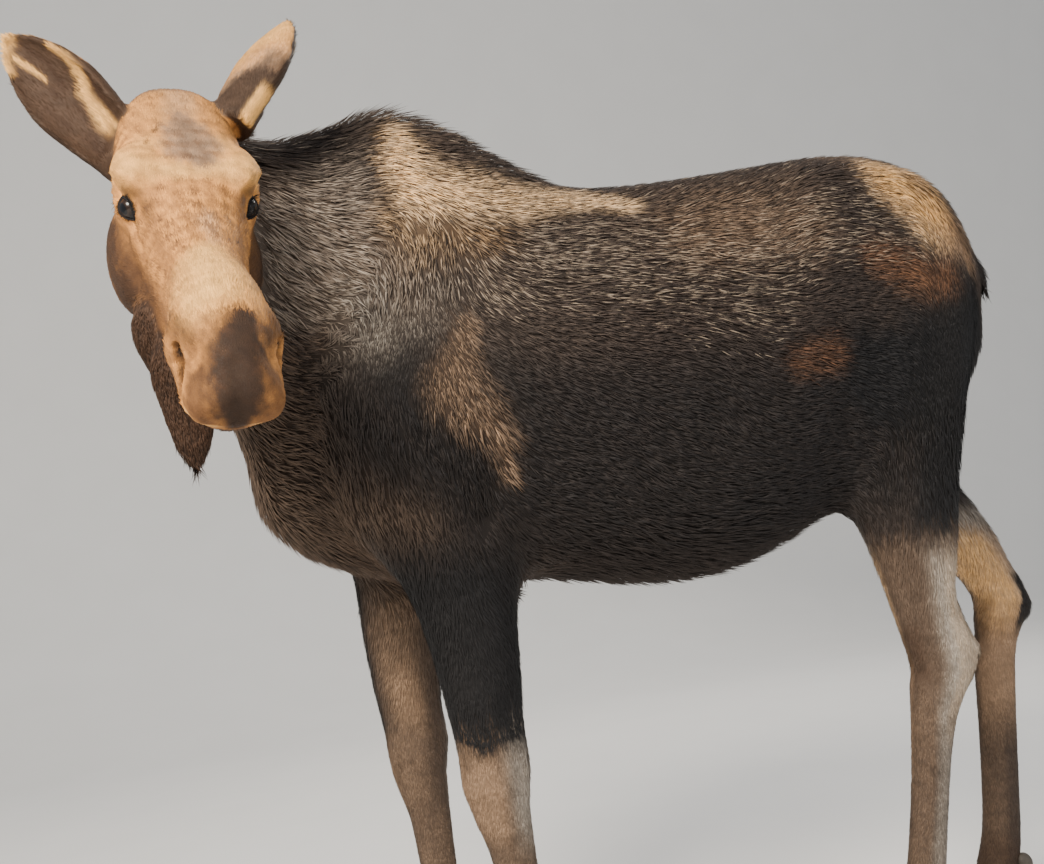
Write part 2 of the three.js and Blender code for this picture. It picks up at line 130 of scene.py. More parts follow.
ELBOW_HEIGHT = 920
KNEE_HEIGHT = 500
FETLOCK_HEIGHT = 125
CORONET_HEIGHT = 52
FORE_SPREAD = 175
HIND_SPREAD = 150
HOCK_LINE = 725  # where a hock stands along X when the leg is straight below the hip
HOOF_LENGTH = 128
HOOF_WIDTH = 50
HOOF_OFFSET = -36
CLEFT = 5
DEWCLAW = (17, 13, 21)
DEWCLAW_PLACE = (37, 22, 90)  # behind the fetlock, out from its middle, up
SOLE = 47  # the skin ends here, within the hooves


def joint(x, y, z, fore, back, side):
    """A section across a leg, from its reach forward, backward and to the sides."""
    return ((x, y, z), (fore, back, side), (2, 2))


def foreleg(side, knee, foot):
    """The line of a foreleg, with its knee and its fetlock at places along X."""
    y = side * FORE_SPREAD
    return [
        joint(-130, y * 0.5, 1600, 50, 50, 40),
        joint(-165, y * 0.8, 1440, 125, 115, 82),
        joint(-225, y * 1.02, 1240, 170, 155, 92),
        joint(knee * 0.25 - 195, y * 1.08, 1060, 165, 170, 96),
        joint(knee * 0.5 - 108, y * 1.08, ELBOW_HEIGHT, 116, 104, 86),
        joint(knee * 0.9 - 32, y * 1.07, 800, 87, 86, 70),
        joint(knee - 8, y * 1.05, 680, 72, 74, 58),
        joint(knee - 4, y * 1.02, 572, 62, 60, 52),
        joint(knee, y, KNEE_HEIGHT, 57, 53, 51),
        joint((3 * knee + foot) / 4, y * 0.99, 420, 41, 43, 39),
        joint((knee + foot) / 2, y * 0.98, 300, 35, 39, 33),
        joint((knee + 5 * foot) / 6, y * 0.97, 185, 36, 41, 34),
        joint(foot, y * 0.96, FETLOCK_HEIGHT, 42, 49, 41),
        joint(foot - 22, y * 0.96, 82, 43, 42, 44),
        joint(foot - 34, y * 0.96, 44, 46, 48, 47),
    ]


def hindleg(side, hock, foot):
    """The line of a hindleg, with its hock at a place along X and Z, its fetlock along X."""
    y = side * HIND_SPREAD
    hx, hz = hock
    swing = hx - HOCK_LINE
    return [
        joint(800, y * 0.7, 1560, 60, 60, 60),
        joint(795, y * 0.9, 1450, 150, 125, 80),
        joint(770, y * 1.04, 1300, 187, 150, 96),
        joint(738 + swing * 0.06, y * 1.06, 1150, 188, 132, 102),
        joint(706 + swing * 0.22, y * 1.06, 1010, 154, 126, 97),
        joint(700 + swing * 0.48, y * 1.04, hz + 290, 118, 104, 80),
        joint(703 + swing * 0.72, y * 1.02, hz + 190, 86, 88, 62),
        joint(712 + swing * 0.9, y * 1.01, hz + 95, 72, 72, 50),
        joint(hx, y, hz, 68, 70, 48),
        joint(hx * 0.8 + foot * 0.2 - 8, y, hz - 85, 48 + swing * 0.03, 47, 41),
        joint((hx + foot) / 2 - 4, y * 0.99, (hz + FETLOCK_HEIGHT) / 2, 37 + swing * 0.04, 40, 33),
        joint(hx * 0.18 + foot * 0.82, y * 0.98, 205, 37 + swing * 0.03, 41, 34),
        joint(foot, y * 0.98, FETLOCK_HEIGHT, 43, 49, 41),
        joint(foot - 22, y * 0.98, 82, 43, 42, 44),
        joint(foot - 36, y * 0.98, 44, 46, 48, 47),
    ]


# Legs: her side (-1 is left), where the fetlock stands along X, and the line of the limb.
LEGS = {
    "foreleg_left": (-1, -128, foreleg(-1, -163, -128)),
    "foreleg_right": (1, -228, foreleg(1, -245, -228)),
    "hindleg_left": (-1, 606, hindleg(-1, (725, 590), 606)),
    "hindleg_right": (1, 985, hindleg(1, (1082, 665), 985)),
}


def foot_y(leg, side):
    return side * (FORE_SPREAD * 0.96 if leg.startswith("fore") else HIND_SPREAD * 0.98)


# ---- small tools ----


def unit(vectors):
    vectors = np.asarray(vectors, float)
    length = np.linalg.norm(vectors, axis=-1, keepdims=True)
    return vectors / np.maximum(length, 1e-12)


def dot(a, b):
    return np.sum(a * b, axis=-1)


def ease(value, start, end):
    """0 before start, 1 after end, smooth between them."""
    t = np.clip((value - start) / (end - start), 0, 1)
    return t * t * (3 - 2 * t)


def ripple(points, scale, seed, octaves=3):
    """A smooth wandering value, about -1 to 1, that changes over scale."""
    rng = np.random.default_rng(seed)
    total = np.zeros(len(points))
    size = 1.0
    for _ in range(octaves):
        for _ in range(5):
            way = unit(rng.normal(size=points.shape[1])) * rng.uniform(0.7, 1.3)
            total += size * np.sin(points @ way * (2 * math.pi / scale) + rng.uniform(0, 6.3))
        scale /= 2.1
        size *= 0.6
    return total / 4.2


def stroke(points, path, soft=0.4, rough=None):
    """1 within a path's width, falling to 0 outside it; each row of the path ends in its width."""
    path = np.asarray(path, float)
    if len(path) == 1:
        path = np.vstack([path, path + np.append(np.full(path.shape[1] - 1, 1e-3), 0)])
    nearest = np.full(len(points), 99.0)
    for a, b in zip(path, path[1:]):
        span = b[:-1] - a[:-1]
        t = np.clip((points - a[:-1]) @ span / (span @ span), 0, 1)
        off = np.linalg.norm(points - a[:-1] - t[:, None] * span, axis=1)
        nearest = np.minimum(nearest, off / (a[-1] + t * (b[-1] - a[-1])))
    if rough is not None:
        nearest = nearest + rough
    return 1 - ease(nearest, 1 - soft, 1 + soft)


def through(points, steps):
    """Places on a smooth line through the points, with steps of them to each stretch."""
    points = np.asarray(points, float)
    ends = np.vstack([2 * points[0] - points[1], points, 2 * points[-1] - points[-2]])
    made = []
    for a, b, c, d in zip(ends, ends[1:], ends[2:], ends[3:]):
        near, mid, far = (np.linalg.norm(q - p) ** 0.5 for p, q in ((a, b), (b, c), (c, d)))
        mid = mid if mid > 1e-4 else 1.0
        near = near if near > 1e-4 else mid
        far = far if far > 1e-4 else mid
        lead = ((b - a) / near - (c - a) / (near + mid) + (c - b) / mid) * mid
        trail = ((c - b) / mid - (d - b) / (mid + far) + (d - c) / far) * mid
        for t in np.arange(steps) / steps:
            square = 3 * (c - b) - 2 * lead - trail
            cube = 2 * (b - c) + lead + trail
            made.append(b + t * lead + t * t * square + t**3 * cube)
    made.append(points[-1])
    return np.array(made)


def head_frame():
    pitch, yaw, roll = (math.radians(a) for a in (HEAD_PITCH, HEAD_YAW, HEAD_ROLL))
    level = np.array([math.sin(yaw), -math.cos(yaw), 0])
    up = np.array([0, 0, 1.0])
    nose = level * math.cos(pitch) - up * math.sin(pitch)
    crown = level * math.sin(pitch) + up * math.cos(pitch)
    left = np.cross(crown, nose)
    turned_left = left * math.cos(roll) + crown * math.sin(roll)
    turned_crown = crown * math.cos(roll) - left * math.sin(roll)
    return np.array([nose, turned_left, turned_crown])


HEAD_AXES = head_frame()
HEAD_ORIGIN = np.array(POLL) + ORIGIN_SHIFT


def from_head(points):
    """Millimetres in the head's frame to millimetres in the part's frame."""
    return np.asarray(points, float) @ HEAD_AXES + HEAD_ORIGIN


def to_head(points):
    return (np.asarray(points, float) - HEAD_ORIGIN) @ HEAD_AXES.T


def both_sides(place):
    x, y, z = place
    return [(x, y, z), (x, -y, z)]


def to_side(path, side, wider=0):
    """A path of her left side, laid on the side asked for: 1 is left in the head's frame."""
    return [(x, y * side, z, width + wider) for x, y, z, width in path]


def strongest(*values):
    return np.maximum.reduce(values)


def placed(name, data):
    made = bpy.data.objects.new(name, data)
    bpy.context.scene.collection.objects.link(made)
    return made


def object_of(name, bm):
    mesh = bpy.data.meshes.new(name)
    bm.to_mesh(mesh)
    bm.free()
    return placed(name, mesh)


def pour(bm, whole):
    """Adds one bmesh to another and frees it."""
    mesh = bpy.data.meshes.new("form")
    bm.to_mesh(mesh)
    bm.free()
    whole.from_mesh(mesh)
    bpy.data.meshes.remove(mesh)


# ---- forms of rounded sections ----


def sections(stations, upward, around, steps, facing):
    """The rings of a form, and the way it runs at each ring."""
    at = through([s[0] for s in stations], steps)
    reach = through([s[1] for s in stations], steps)
    square = through([tuple(s[2]) + (0,) for s in stations], steps)
    runs = unit(np.gradient(at, axis=0))
    angles = 2 * math.pi * np.arange(around) / around
    rise, spread = np.cos(angles), np.sin(angles)
    rings = []
    for centre, size, power, run in zip(at, reach, square, runs):
        along = run if facing is None else np.asarray(facing, float)
        up = unit(upward - along * (along @ upward))
        side = np.cross(along, up)
        n = np.where(rise > 0, power[0], power[1])
        lift = np.sign(rise) * np.abs(rise) ** (2 / n) * np.where(rise > 0, size[0], size[1])
        out = np.sign(spread) * np.abs(spread) ** (2 / n) * size[2]
        rings.append(centre + lift[:, None] * up + out[:, None] * side)
    return rings, runs


def skin_rings(rings):
    """A closed bmesh over rings of points."""
    bm = bmesh.new()
    loops = []
    for ring in rings:
        made = bmesh.ops.create_circle(bm, segments=len(ring), radius=1.0)["verts"]
        for vert, place in zip(made, ring):
            vert.co = place
        loops.append(made)
    edges = [list({e for v in loop for e in v.link_edges}) for loop in loops]
    for near, far in zip(edges, edges[1:]):
        bmesh.ops.bridge_loops(bm, edges=near + far)
    for loop in (loops[0], loops[-1]):
        bmesh.ops.contextual_create(bm, geom=loop)
    bmesh.ops.recalc_face_normals(bm, faces=bm.faces[:])
    return bm


def in_part(places, in_head):
    """Drawn places in the part's frame, from the head's frame or from the drawing's."""
    return from_head(places) if in_head else places + ORIGIN_SHIFT


def loft(stations, upward=(0, 0, 1), around=48, steps=5, facing=None, in_head=False):
    """A closed form, and at each of its vertices the way that it runs."""
    upward = np.asarray(upward, float)
    rings, runs = sections(stations, upward, around, steps, facing)
    bm = skin_rings([in_part(ring, in_head) * MM for ring in rings])
    return bm, np.repeat(runs @ HEAD_AXES if in_head else runs, around, axis=0)


def ball(at, radii, run=(0, 0, 0), in_head=False):
    """A closed ellipsoid, and at each of its vertices the way that it runs."""
    bm = bmesh.new()
    bmesh.ops.create_uvsphere(bm, u_segments=32, v_segments=20, radius=1.0)
    for vert in bm.verts:
        vert.co = in_part(np.array(vert.co) * radii + at, in_head) * MM
    bmesh.ops.recalc_face_normals(bm, faces=bm.faces[:])
    run = np.asarray(run, float) @ HEAD_AXES if in_head else np.asarray(run, float)
    return bm, np.tile(run, (len(bm.verts), 1))


def rib(x, top, bottom, middle, half, above, below, swing=0):
    """A section from a row of TRUNK, SKULL or JAW."""
    return ((x, swing, middle), (top - middle, middle - bottom, half), (above, below))


def ear_stations(side):
    root, tip, opening = (np.array(v, float) for v in EARS[side])
    opening = unit(opening)
    leaf = [
        (root + (tip - root) * share, (deep, deep, wide), (2, 2)) for share, wide, deep in EAR_FORM
    ]
    hollow = []
    for share, wide, deep in EAR_FORM[1:-1]:
        at = root + (tip - root) * share + opening * deep * 0.75
        floor = max(deep * 1.35 - EAR_WALL * 0.6, deep * 0.8)
        hollow.append((at, (deep * 1.5, floor, max(wide - EAR_WALL, wide * 0.45)), (2, 2)))
    return leaf, hollow, opening


def finished(piece, *modifiers):
    """The piece's mesh with modifiers applied: each is a kind and its settings."""
    for kind, settings in modifiers:
        modifier = piece.modifiers.new(kind.title(), kind)
        for key, value in settings.items():
            setattr(modifier, key, value)
    depsgraph = bpy.context.evaluated_depsgraph_get()
    mesh = bpy.data.meshes.new_from_object(piece.evaluated_get(depsgraph))
    piece.modifiers.clear()
    old = piece.data
    piece.data = mesh
    bpy.data.meshes.remove(old)
    return piece


def discard(piece):
    mesh = piece.data
    bpy.data.objects.remove(piece)
    bpy.data.meshes.remove(mesh)


def scooped_ear(side):
    """The leaf of an ear with its hollow taken out."""
    leaf, hollow, opening = ear_stations(side)
    form, run = loft(leaf, upward=opening, around=40, steps=5)
    tool, _ = loft(hollow, upward=opening, around=32, steps=5)
    cutter = object_of("ear_hollow", tool)
    ear = finished(
        object_of("ear_leaf", form),
        ("BOOLEAN", {"operation": "DIFFERENCE", "object": cutter, "solver": "EXACT"}),
    )
    bm = bmesh.new()
    bm.from_mesh(ear.data)
    discard(ear)
    discard(cutter)
    return bm, np.tile(run[0], (len(bm.verts), 1))


def flesh_forms():
    """Every form of flesh: the part it belongs to, its bmesh and the way its hair runs."""
    backward, downward = (1, 0, 0), (0, 0, -1)
    yield "trunk", *loft([rib(*row) for row in TRUNK], around=72, facing=backward)
    for at in both_sides(HIP_BONE[0]):
        yield "trunk", *ball(at, HIP_BONE[1], backward)
    bm, run = loft(NECK, around=64)
    yield "neck", bm, -run
    yield "neck", *ball(*THROAT, downward)
    yield "bell", *loft(BELL, upward=(0, 1, 0))
    yield "tail", *loft(TAIL, upward=(1, 0, 0))
    for rows in (SKULL, JAW):
        bm, run = loft([rib(*row) for row in rows], around=64, in_head=True)
        yield "head", bm, -run
    for at, radii in (BROW, CHEEK):
        for place in both_sides(at):
            yield "head", *ball(place, radii, (-1, 0, 0), in_head=True)
    for name, (_, _, line) in LEGS.items():
        yield name, *loft(line, upward=(-1, 0, 0), around=40)
    for side in EARS:
        yield "ear_" + side, *scooped_ear(side)


# ---- the skin ----

PARTS = ["trunk", "neck", "head", "bell", "tail", "ear_left", "ear_right", *LEGS]
VOXEL = 4.2  # of the first skin, in millimetres
SKIN_TRIANGLES = 150000
# How many times the labels, the runs of the hair, the body and the head are evened out.
LABELS_EVENED, RUNS_EVENED, BODY_EVENED, HEAD_EVENED = 14, 10, 26, 12


def places_of(mesh):
    flat = np.empty(len(mesh.vertices) * 3)
    mesh.vertices.foreach_get("co", flat)
    return flat.reshape(-1, 3) / MM


def edges_of(mesh):
    flat = np.empty(len(mesh.edges) * 2, np.int32)
    mesh.edges.foreach_get("vertices", flat)
    return flat.reshape(-1, 2)


def put_places(mesh, places):
    mesh.vertices.foreach_set("co", (places * MM).astype(np.float32).ravel())
    mesh.update()


def normals_of(mesh):
    flat = np.empty(len(mesh.vertices) * 3)
    mesh.vertices.foreach_get("normal", flat)
    return flat.reshape(-1, 3)


def smoothed(values, edges, times, share=0.5):
    """Each vertex's values drawn towards the mean of its neighbours'."""
    count = len(values)
    shares = share * np.ones((count, 1)) if np.isscalar(share) else share[:, None]
    a, b = edges.T
    neighbours = np.bincount(a, minlength=count) + np.bincount(b, minlength=count)
    values = values.copy()
    for _ in range(times):
        mean = np.empty_like(values)
        for k in range(values.shape[1]):
            total = np.bincount(a, values[b, k], count) + np.bincount(b, values[a, k], count)
            mean[:, k] = total / np.maximum(neighbours, 1)
        values += shares * (mean - values)
    return values


def near_head(places):
    """1 on and about the head and its ears."""
    x, y, z = to_head(places).T
    return (x > -130) & (np.abs(y) < 260) & (z > -340) & (z < 190) & (x < 760)


class Flesh:
    """The skin's vertices, with the part that each belongs to and the way its hair runs."""

    def __init__(self, mesh, forms):
        self.mesh = mesh
        self.places = places_of(mesh)
        self.edges = edges_of(mesh)
        tree = KDTree(sum(len(points) for _, points, _ in forms))
        labels, runs = [], []
        for part, points, run in forms:
            for point in points:
                tree.insert(point, len(labels))
                labels.append(PARTS.index(part))
            runs.append(run)
        tree.balance()
        nearest = [tree.find(place)[1] for place in self.places]
        labels, runs = np.array(labels)[nearest], np.vstack(runs)[nearest]
        self.parts = smoothed(np.eye(len(PARTS))[labels], self.edges, LABELS_EVENED)
        self.runs = smoothed(runs, self.edges, RUNS_EVENED)

    def part(self, *names):
        return sum(self.parts[:, PARTS.index(name)] for name in names)

    def put(self):
        put_places(self.mesh, self.places)


def merged_forms():
    """One remeshed body, and the forms that it was made of."""
    whole = bmesh.new()
    forms = []
    for part, bm, run in flesh_forms():
        forms.append((part, np.array([v.co for v in bm.verts]) / MM, run))
        pour(bm, whole)
    body = object_of("skin", whole)
    finished(body, ("REMESH", {"mode": "VOXEL", "voxel_size": VOXEL * MM}))
    return body, forms


def thin_out(body):
    """Fewer, larger triangles everywhere but on the head."""
    group = body.vertex_groups.new(name="body")
    away = np.nonzero(~near_head(places_of(body.data)))[0]
    group.add(away.tolist(), 1.0, "REPLACE")
    faces = 2 * len(body.data.polygons)
    settings = {
        "ratio": SKIN_TRIANGLES / faces,
        "use_collapse_triangulate": True,
        "vertex_group": "body",
        "vertex_group_factor": 1.0,
    }
    finished(body, ("DECIMATE", settings))
    body.vertex_groups.clear()


def refine(body, spots):
    """Splits the skin's edges within a radius of each spot."""
    bm = bmesh.new()
    bm.from_mesh(body.data)
    for centre, radius, times in spots:
        centre, radius = Vector(centre) * MM, radius * MM
        for _ in range(times):
            edges = [e for e in bm.edges if all((v.co - centre).length < radius for v in e.verts)]
            bmesh.ops.subdivide_edges(bm, edges=edges, cuts=1, use_grid_fill=True)
    bmesh.ops.triangulate(bm, faces=bm.faces[:])
    bm.to_mesh(body.data)
    bm.free()


def round_off(flesh):
    """Blends the forms into one another, most where limbs meet the trunk."""
    meeting = 1 - (flesh.parts**2).sum(axis=1)
    rest = flesh.part("trunk", "neck", *LEGS)
    high = ease(flesh.places[:, 2], 700, 950)
    share = np.clip(rest * (0.25 + 0.9 * meeting) * high + 0.1 * rest, 0, 0.6)
    flesh.places = smoothed(flesh.places, flesh.edges, BODY_EVENED, share)
    on_head = flesh.part("head", "bell") * 0.4
    flesh.places = smoothed(flesh.places, flesh.edges, HEAD_EVENED, on_head)


def coat_depth(flesh):
    """How far the tips of the coat stand off the skin, in millimetres."""
    depth = 9 * flesh.part("trunk") + 12 * flesh.part("neck") + 9 * flesh.part("bell")
    legs = flesh.part(*LEGS)
    depth = depth + legs * (2.5 + 5 * ease(flesh.places[:, 2], 450, 950))
    depth = depth + 7 * flesh.part("tail")
    return depth + 1.5 * flesh.part("head") + flesh.part("ear_left", "ear_right")


def normals_here(flesh):
    flesh.put()
    return normals_of(flesh.mesh)


# Swells (+) and hollows (-) of the body: x, y of her left side, z, radius, amount.
BODY_SWELLS = [
    ((-545, 0, 1780), 90, 8), ((-350, -100, 1260), 80, 7), ((-430, -90, 1100), 80, 8),
    ((-395, -85, 1380), 60, -7), ((-300, -95, 985), 34, -22), ((-280, -100, 1040), 30, -10),
    ((-252, -60, 930), 38, -8), ((-330, -85, 1190), 110, 8), ((-385, -90, 960), 70, 6),
    ((430, -110, 1180), 95, -14), ((400, -120, 1040), 60, -8), ((560, -90, 1120), 110, 10),
    ((500, -60, 1470), 60, 8), ((330, -100, 1440), 110, -8), ((690, -60, 1330), 70, 6),
]
# Swells of the knees and hocks: x and y from the limb's line, z, radius, amount.
KNEE_SWELLS = [
    ((-52, 14, 520), 30, 5), ((-46, 20, 470), 24, 4), ((46, 10, 545), 24, 7),
    ((0, 50, 515), 26, 4), ((0, 40, 590), 30, -4), ((20, 36, 450), 24, -3),
    ((-20, 40, 680), 40, 5), ((40, 40, 640), 34, -4),
]
HOCK_SWELLS = [
    ((70, 0, 625), 26, 12), ((66, 0, 560), 26, 5), ((66, 0, 730), 34, -8), ((34, 40, 690), 30, -7),
    ((30, 36, 770), 34, -6), ((-10, 46, 600), 28, 5), ((-60, 12, 590), 28, -4),
    ((-40, 30, 540), 24, 4), ((0, 40, 500), 26, -3),
]

# Swells of the head, in its own frame.
HEAD_SWELLS = [
    ((192, 100, -22), 28, 6), ((228, 88, -18), 20, 4), ((150, 62, 6), 40, 3),
    ((262, 84, -104), 22, 3), ((250, 96, -124), 30, 3), ((176, 100, -118), 36, -4),
    ((320, 66, -70), 30, -4), ((400, 60, -84), 34, -6), ((470, 58, -92), 30, -4),
    ((300, 40, -6), 50, -4), ((400, 0, -14), 60, -3), ((510, 0, 0), 50, 3),
    ((290, 98, -165), 40, 7), ((340, 94, -182), 44, 12), ((390, 86, -198), 46, 16),
    ((450, 74, -208), 46, 17), ((520, 60, -204), 40, 12), ((572, 66, -56), 26, 7),
    ((576, 68, -92), 26, 9), ((640, 60, -66), 26, -9), ((664, 56, -120), 26, 7),
    ((684, 34, -112), 26, 3), ((640, 0, -50), 30, 3), ((60, 60, 30), 40, 3), ((85, 0, 34), 40, -3),
    ((130, 0, 26), 26, 3),
]
# Grooves of her left side: x, y, z and width, then how deep.
HEAD_GROOVES = [
    ([(246, 90, -76, 5), (262, 86, -84, 6), (284, 80, -92, 7), (305, 76, -100, 7)], 4),
    ([(660, 0, -60, 10), (688, 0, -100, 9), (690, 0, -142, 8)], 3.5),
    ([(232, 66, -6, 12), (262, 60, -18, 14), (300, 58, -34, 14)], 3),
    ([(650, 40, -84, 5), (664, 42, -96, 5), (676, 34, -104, 4)], 1.2),
]


def swell(flesh, normals, centre, radius, amount, only):
    """Raises the skin by amount at the centre, and less about it."""
    off = np.linalg.norm(flesh.places - np.array(centre), axis=1) / radius
    flesh.places += (amount * np.exp(-off * off) * only)[:, None] * normals


def sculpt_body(flesh):
    normals = normals_here(flesh)
    body = flesh.part("trunk", "neck", *LEGS)
    for (x, y, z), radius, amount in BODY_SWELLS:
        for side in (1, -1):
            across = y * side + (1 - side) * ORIGIN_SHIFT[1]
            swell(flesh, normals, (x, across, z), radius, amount, body)
    for name, (_, _, line) in LEGS.items():
        sculpt_leg(flesh, normals, name, line)


def sculpt_leg(flesh, normals, name, line):
    """The knee or hock, and the groove between the cannon and its tendons."""
    only = flesh.part(name)
    at = through([s[0] for s in line], 4) + ORIGIN_SHIFT
    reach = through([s[1] for s in line], 4)
    fore_limb = name.startswith("fore")
    for place, (_, back, wide) in zip(at, reach):
        if 150 < place[2] < (430 if fore_limb else 500):
            for across in (-1, 1):
                groove = place + np.array([back * 0.35, across * wide, 0])
                swell(flesh, normals, groove, 15, -2.6, only)
    for place, radius, amount in KNEE_SWELLS if fore_limb else HOCK_SWELLS:
        middle = at[np.abs(at[:, 2] - place[2]).argmin()]
        for across in (-1, 1):
            spot = middle + np.array([place[0], across * place[1], 0])
            swell(flesh, normals, spot, radius, amount, only)


def sculpt_head(flesh):
    normals = normals_here(flesh)
    only = flesh.part("head", "neck", "bell")
    for at, radius, amount in HEAD_SWELLS:
        for place in both_sides(at) if at[1] else [at]:
            swell(flesh, normals, from_head(place), radius, amount, only)
    local = to_head(flesh.places)
    for path, deep in HEAD_GROOVES:
        for side in (1, -1):
            share = deep if path[0][1] else deep / 2
            groove = stroke(local, to_side(path, side), 0.9)
            flesh.places -= (share * groove * only)[:, None] * normals
    sculpt_mouth(flesh, normals_here(flesh), only)
    for side in (1, -1):
        sculpt_nostril(flesh, side)
        sculpt_eye(flesh, side)


# The line of the lips on her left, then the comma of a nostril, in the head's frame with widths.
LIPS = [
    (690, 0, -153, 8), (680, 34, -155, 8), (662, 53, -155, 7), (632, 62, -153, 7),
    (590, 62, -160, 6), (530, 60, -164, 5), (470, 56, -158, 4),
]
NOSTRIL = [
    (598, 63, -72, 7), (608, 62, -84, 9), (618, 60, -100, 8), (628, 59, -118, 6),
    (636, 58, -136, 4),
]


def sculpt_mouth(flesh, normals, only):
    """The overhanging upper lip, the line of the mouth and the smaller chin below it."""
    local = to_head(flesh.places)
    chin = ease(local[:, 2], -150, -174) * ease(local[:, 0], 530, 620) * only
    shift = np.column_stack([-20 * chin, -0.24 * chin * local[:, 1], 4 * chin])
    flesh.places += shift @ HEAD_AXES
    for side in (1, -1):
        line = stroke(local, to_side(LIPS, side), 0.9)
        flesh.places -= (7 * line * only)[:, None] * normals


def sculpt_nostril(flesh, side):
    """A raised rim round a hollow that slants back and inwards."""
    local = to_head(flesh.places)
    path = to_side(NOSTRIL, side)
    normals = normals_here(flesh)
    rim = stroke(local, to_side(NOSTRIL, side, 8), 0.6) * (1 - stroke(local, path, 0.6))
    flesh.places += (2.6 * rim)[:, None] * normals
    inward = unit(np.array([-0.35, -0.9 * side, 0]) @ HEAD_AXES)
    flesh.places += (26 * stroke(local, path, 0.5))[:, None] * inward


# The opening between the lids: half width and half height in radians, seen from the eye's middle.
LID_WIDTH = 0.94
LID_HEIGHT = 0.56
LID_DEPTH = 2.2
LID_REACH = 60  # how far from the eye's middle the lids shape the skin
EYE_LOOK = (0.58, 0.77, 0.26)
EYE_SLANT = 0.42


def eye_frame(side):
    """An eye's middle, the way it looks, the way to its inner corner and the way up."""
    look = unit(np.array(EYE_LOOK) * (1, side, 1))
    slant = np.array([1, 0, -EYE_SLANT])
    corner = unit(slant - look * (look @ slant))
    up = np.cross(look, corner) * side * -1
    up = up if up[2] > 0 else -up
    at = from_head(np.array(EYE_PLACE) * (1, side, 1))
    return at, look @ HEAD_AXES, corner @ HEAD_AXES, up @ HEAD_AXES


def round_eye(places, side):
    """How far places lie from an eye's middle, and where round it: across, upward and in front."""
    at, look, corner, up = eye_frame(side)
    off = places - at
    far = np.linalg.norm(off, axis=1)
    way = off / far[:, None]
    front = way @ look
    ahead = np.maximum(front, 0.05)
    return far, np.arctan2(way @ corner, ahead), np.arctan2(way @ up, ahead), front


def lid_opening(across, upward):
    """Below 1 inside the opening between the lids."""
    height = np.where(upward > 0, LID_HEIGHT, LID_HEIGHT * 0.8)
    return ((np.abs(across) / LID_WIDTH) ** 1.7 + (np.abs(upward) / height) ** 1.7) ** (1 / 1.7)


def sculpt_eye(flesh, side):
    """Lids that lie on the eyeball, the crease above them, and the opening between them."""
    at = eye_frame(side)[0]
    off = flesh.places - at
    near = np.linalg.norm(off, axis=1) < LID_REACH
    now, across, upward, front = round_eye(flesh.places[near], side)
    way = off[near] / now[:, None]
    opening = lid_opening(across, upward)
    lidded = np.maximum(now, EYE_RADIUS + LID_DEPTH)
    crease = np.exp(-(((opening - 1.75) / 0.16) ** 2)) * 2.2 * (upward > -0.1)
    rim = np.exp(-(((opening - 1.12) / 0.1) ** 2)) * 0.9
    hug = EYE_RADIUS + LID_DEPTH + rim + (lidded - EYE_RADIUS - LID_DEPTH) * ease(opening, 1.1, 2.1)
    soft = ease(opening, 0.97, 1.02)
    shaped = (EYE_RADIUS - 6) * (1 - soft) + (hug - crease) * soft
    use = ease(front, 0.12, 0.3)
    flesh.places[near] = at + way * (now + (shaped - now) * use)[:, None]


def shape_skin(flesh):
    """Sinks the skin below the coat and models its forms."""
    flesh.places -= coat_depth(flesh)[:, None] * normals_here(flesh)
    sculpt_body(flesh)
    sculpt_head(flesh)
    flesh.places[:, 2] = np.maximum(flesh.places[:, 2], SOLE)
    flesh.put()


def build_skin():
    body, forms = merged_forms()
    thin_out(body)
    eyes = [(eye_frame(side)[0], radius, 1) for side in (1, -1) for radius in (52, 36)]
    nostrils = [(from_head((600, 64 * side, -80)), 50, 1) for side in (1, -1)]
    refine(body, eyes + nostrils)
    flesh = Flesh(body.data, forms)
    round_off(flesh)
    shape_skin(flesh)
    return body, flesh


# ---- markings, shared by skin and coat ----

MARKS = ["buff", "brown", "black", "grey", "tan", "rust", "cream", "dusk", "fleck"]

# Strokes seen from her side: x, z and width.
SADDLE = [
    (-372, 1700, 22), (-358, 1630, 40), (-342, 1570, 52), (-250, 1552, 44), (-170, 1540, 36),
    (-65, 1546, 26), (50, 1515, 16),
]
SADDLE_LOW = [(-395, 1520, 40), (-330, 1480, 50), (-230, 1480, 40)]
SILVER = [(-395, 1480, 50), (-320, 1440, 70), (-345, 1370, 60), (-380, 1320, 40)]
NECK_BROWN = [(-700, 1560, 130), (-560, 1500, 150), (-480, 1400, 110), (-455, 1310, 50)]
SHOULDER_DARK = [(-462, 1340, 56), (-425, 1240, 76), (-400, 1160, 60)]
SHOULDER = [(-420, 1400, 90), (-250, 1400, 120), (-120, 1400, 120)]
CREST = [
    (-640, 1640, 60), (-540, 1700, 60), (-372, 1800, 66), (-272, 1740, 56), (-140, 1650, 46),
    (0, 1600, 34),
]
ELBOW_STREAK = [
    (-299, 1312, 14), (-320, 1257, 24), (-338, 1195, 42), (-302, 1150, 34), (-274, 1110, 26),
    (-262, 1040, 12),
]
BACK_LINE = [(0, 1600, 40), (200, 1600, 50), (420, 1620, 40)]
BACK_TAN = [(150, 1440, 60), (240, 1450, 70), (340, 1430, 60)]
LOIN_DARK = [(440, 1560, 36), (452, 1435, 46), (410, 1290, 60)]
RUMP_TAN = [(560, 1525, 40), (640, 1475, 60), (700, 1425, 54), (736, 1370, 26)]
RUMP_RUST = [(490, 1360, 34), (540, 1335, 42), (640, 1320, 34)]
RUMP_CROWN = [(480, 1590, 50), (560, 1600, 50)]
FLANK_RUST = [(270, 1178, 26), (340, 1192, 30)]
LOW_DARK = [
    (-480, 1080, 150), (-330, 1110, 130), (-100, 1050, 160), (200, 1010, 180), (420, 1040, 170),
]
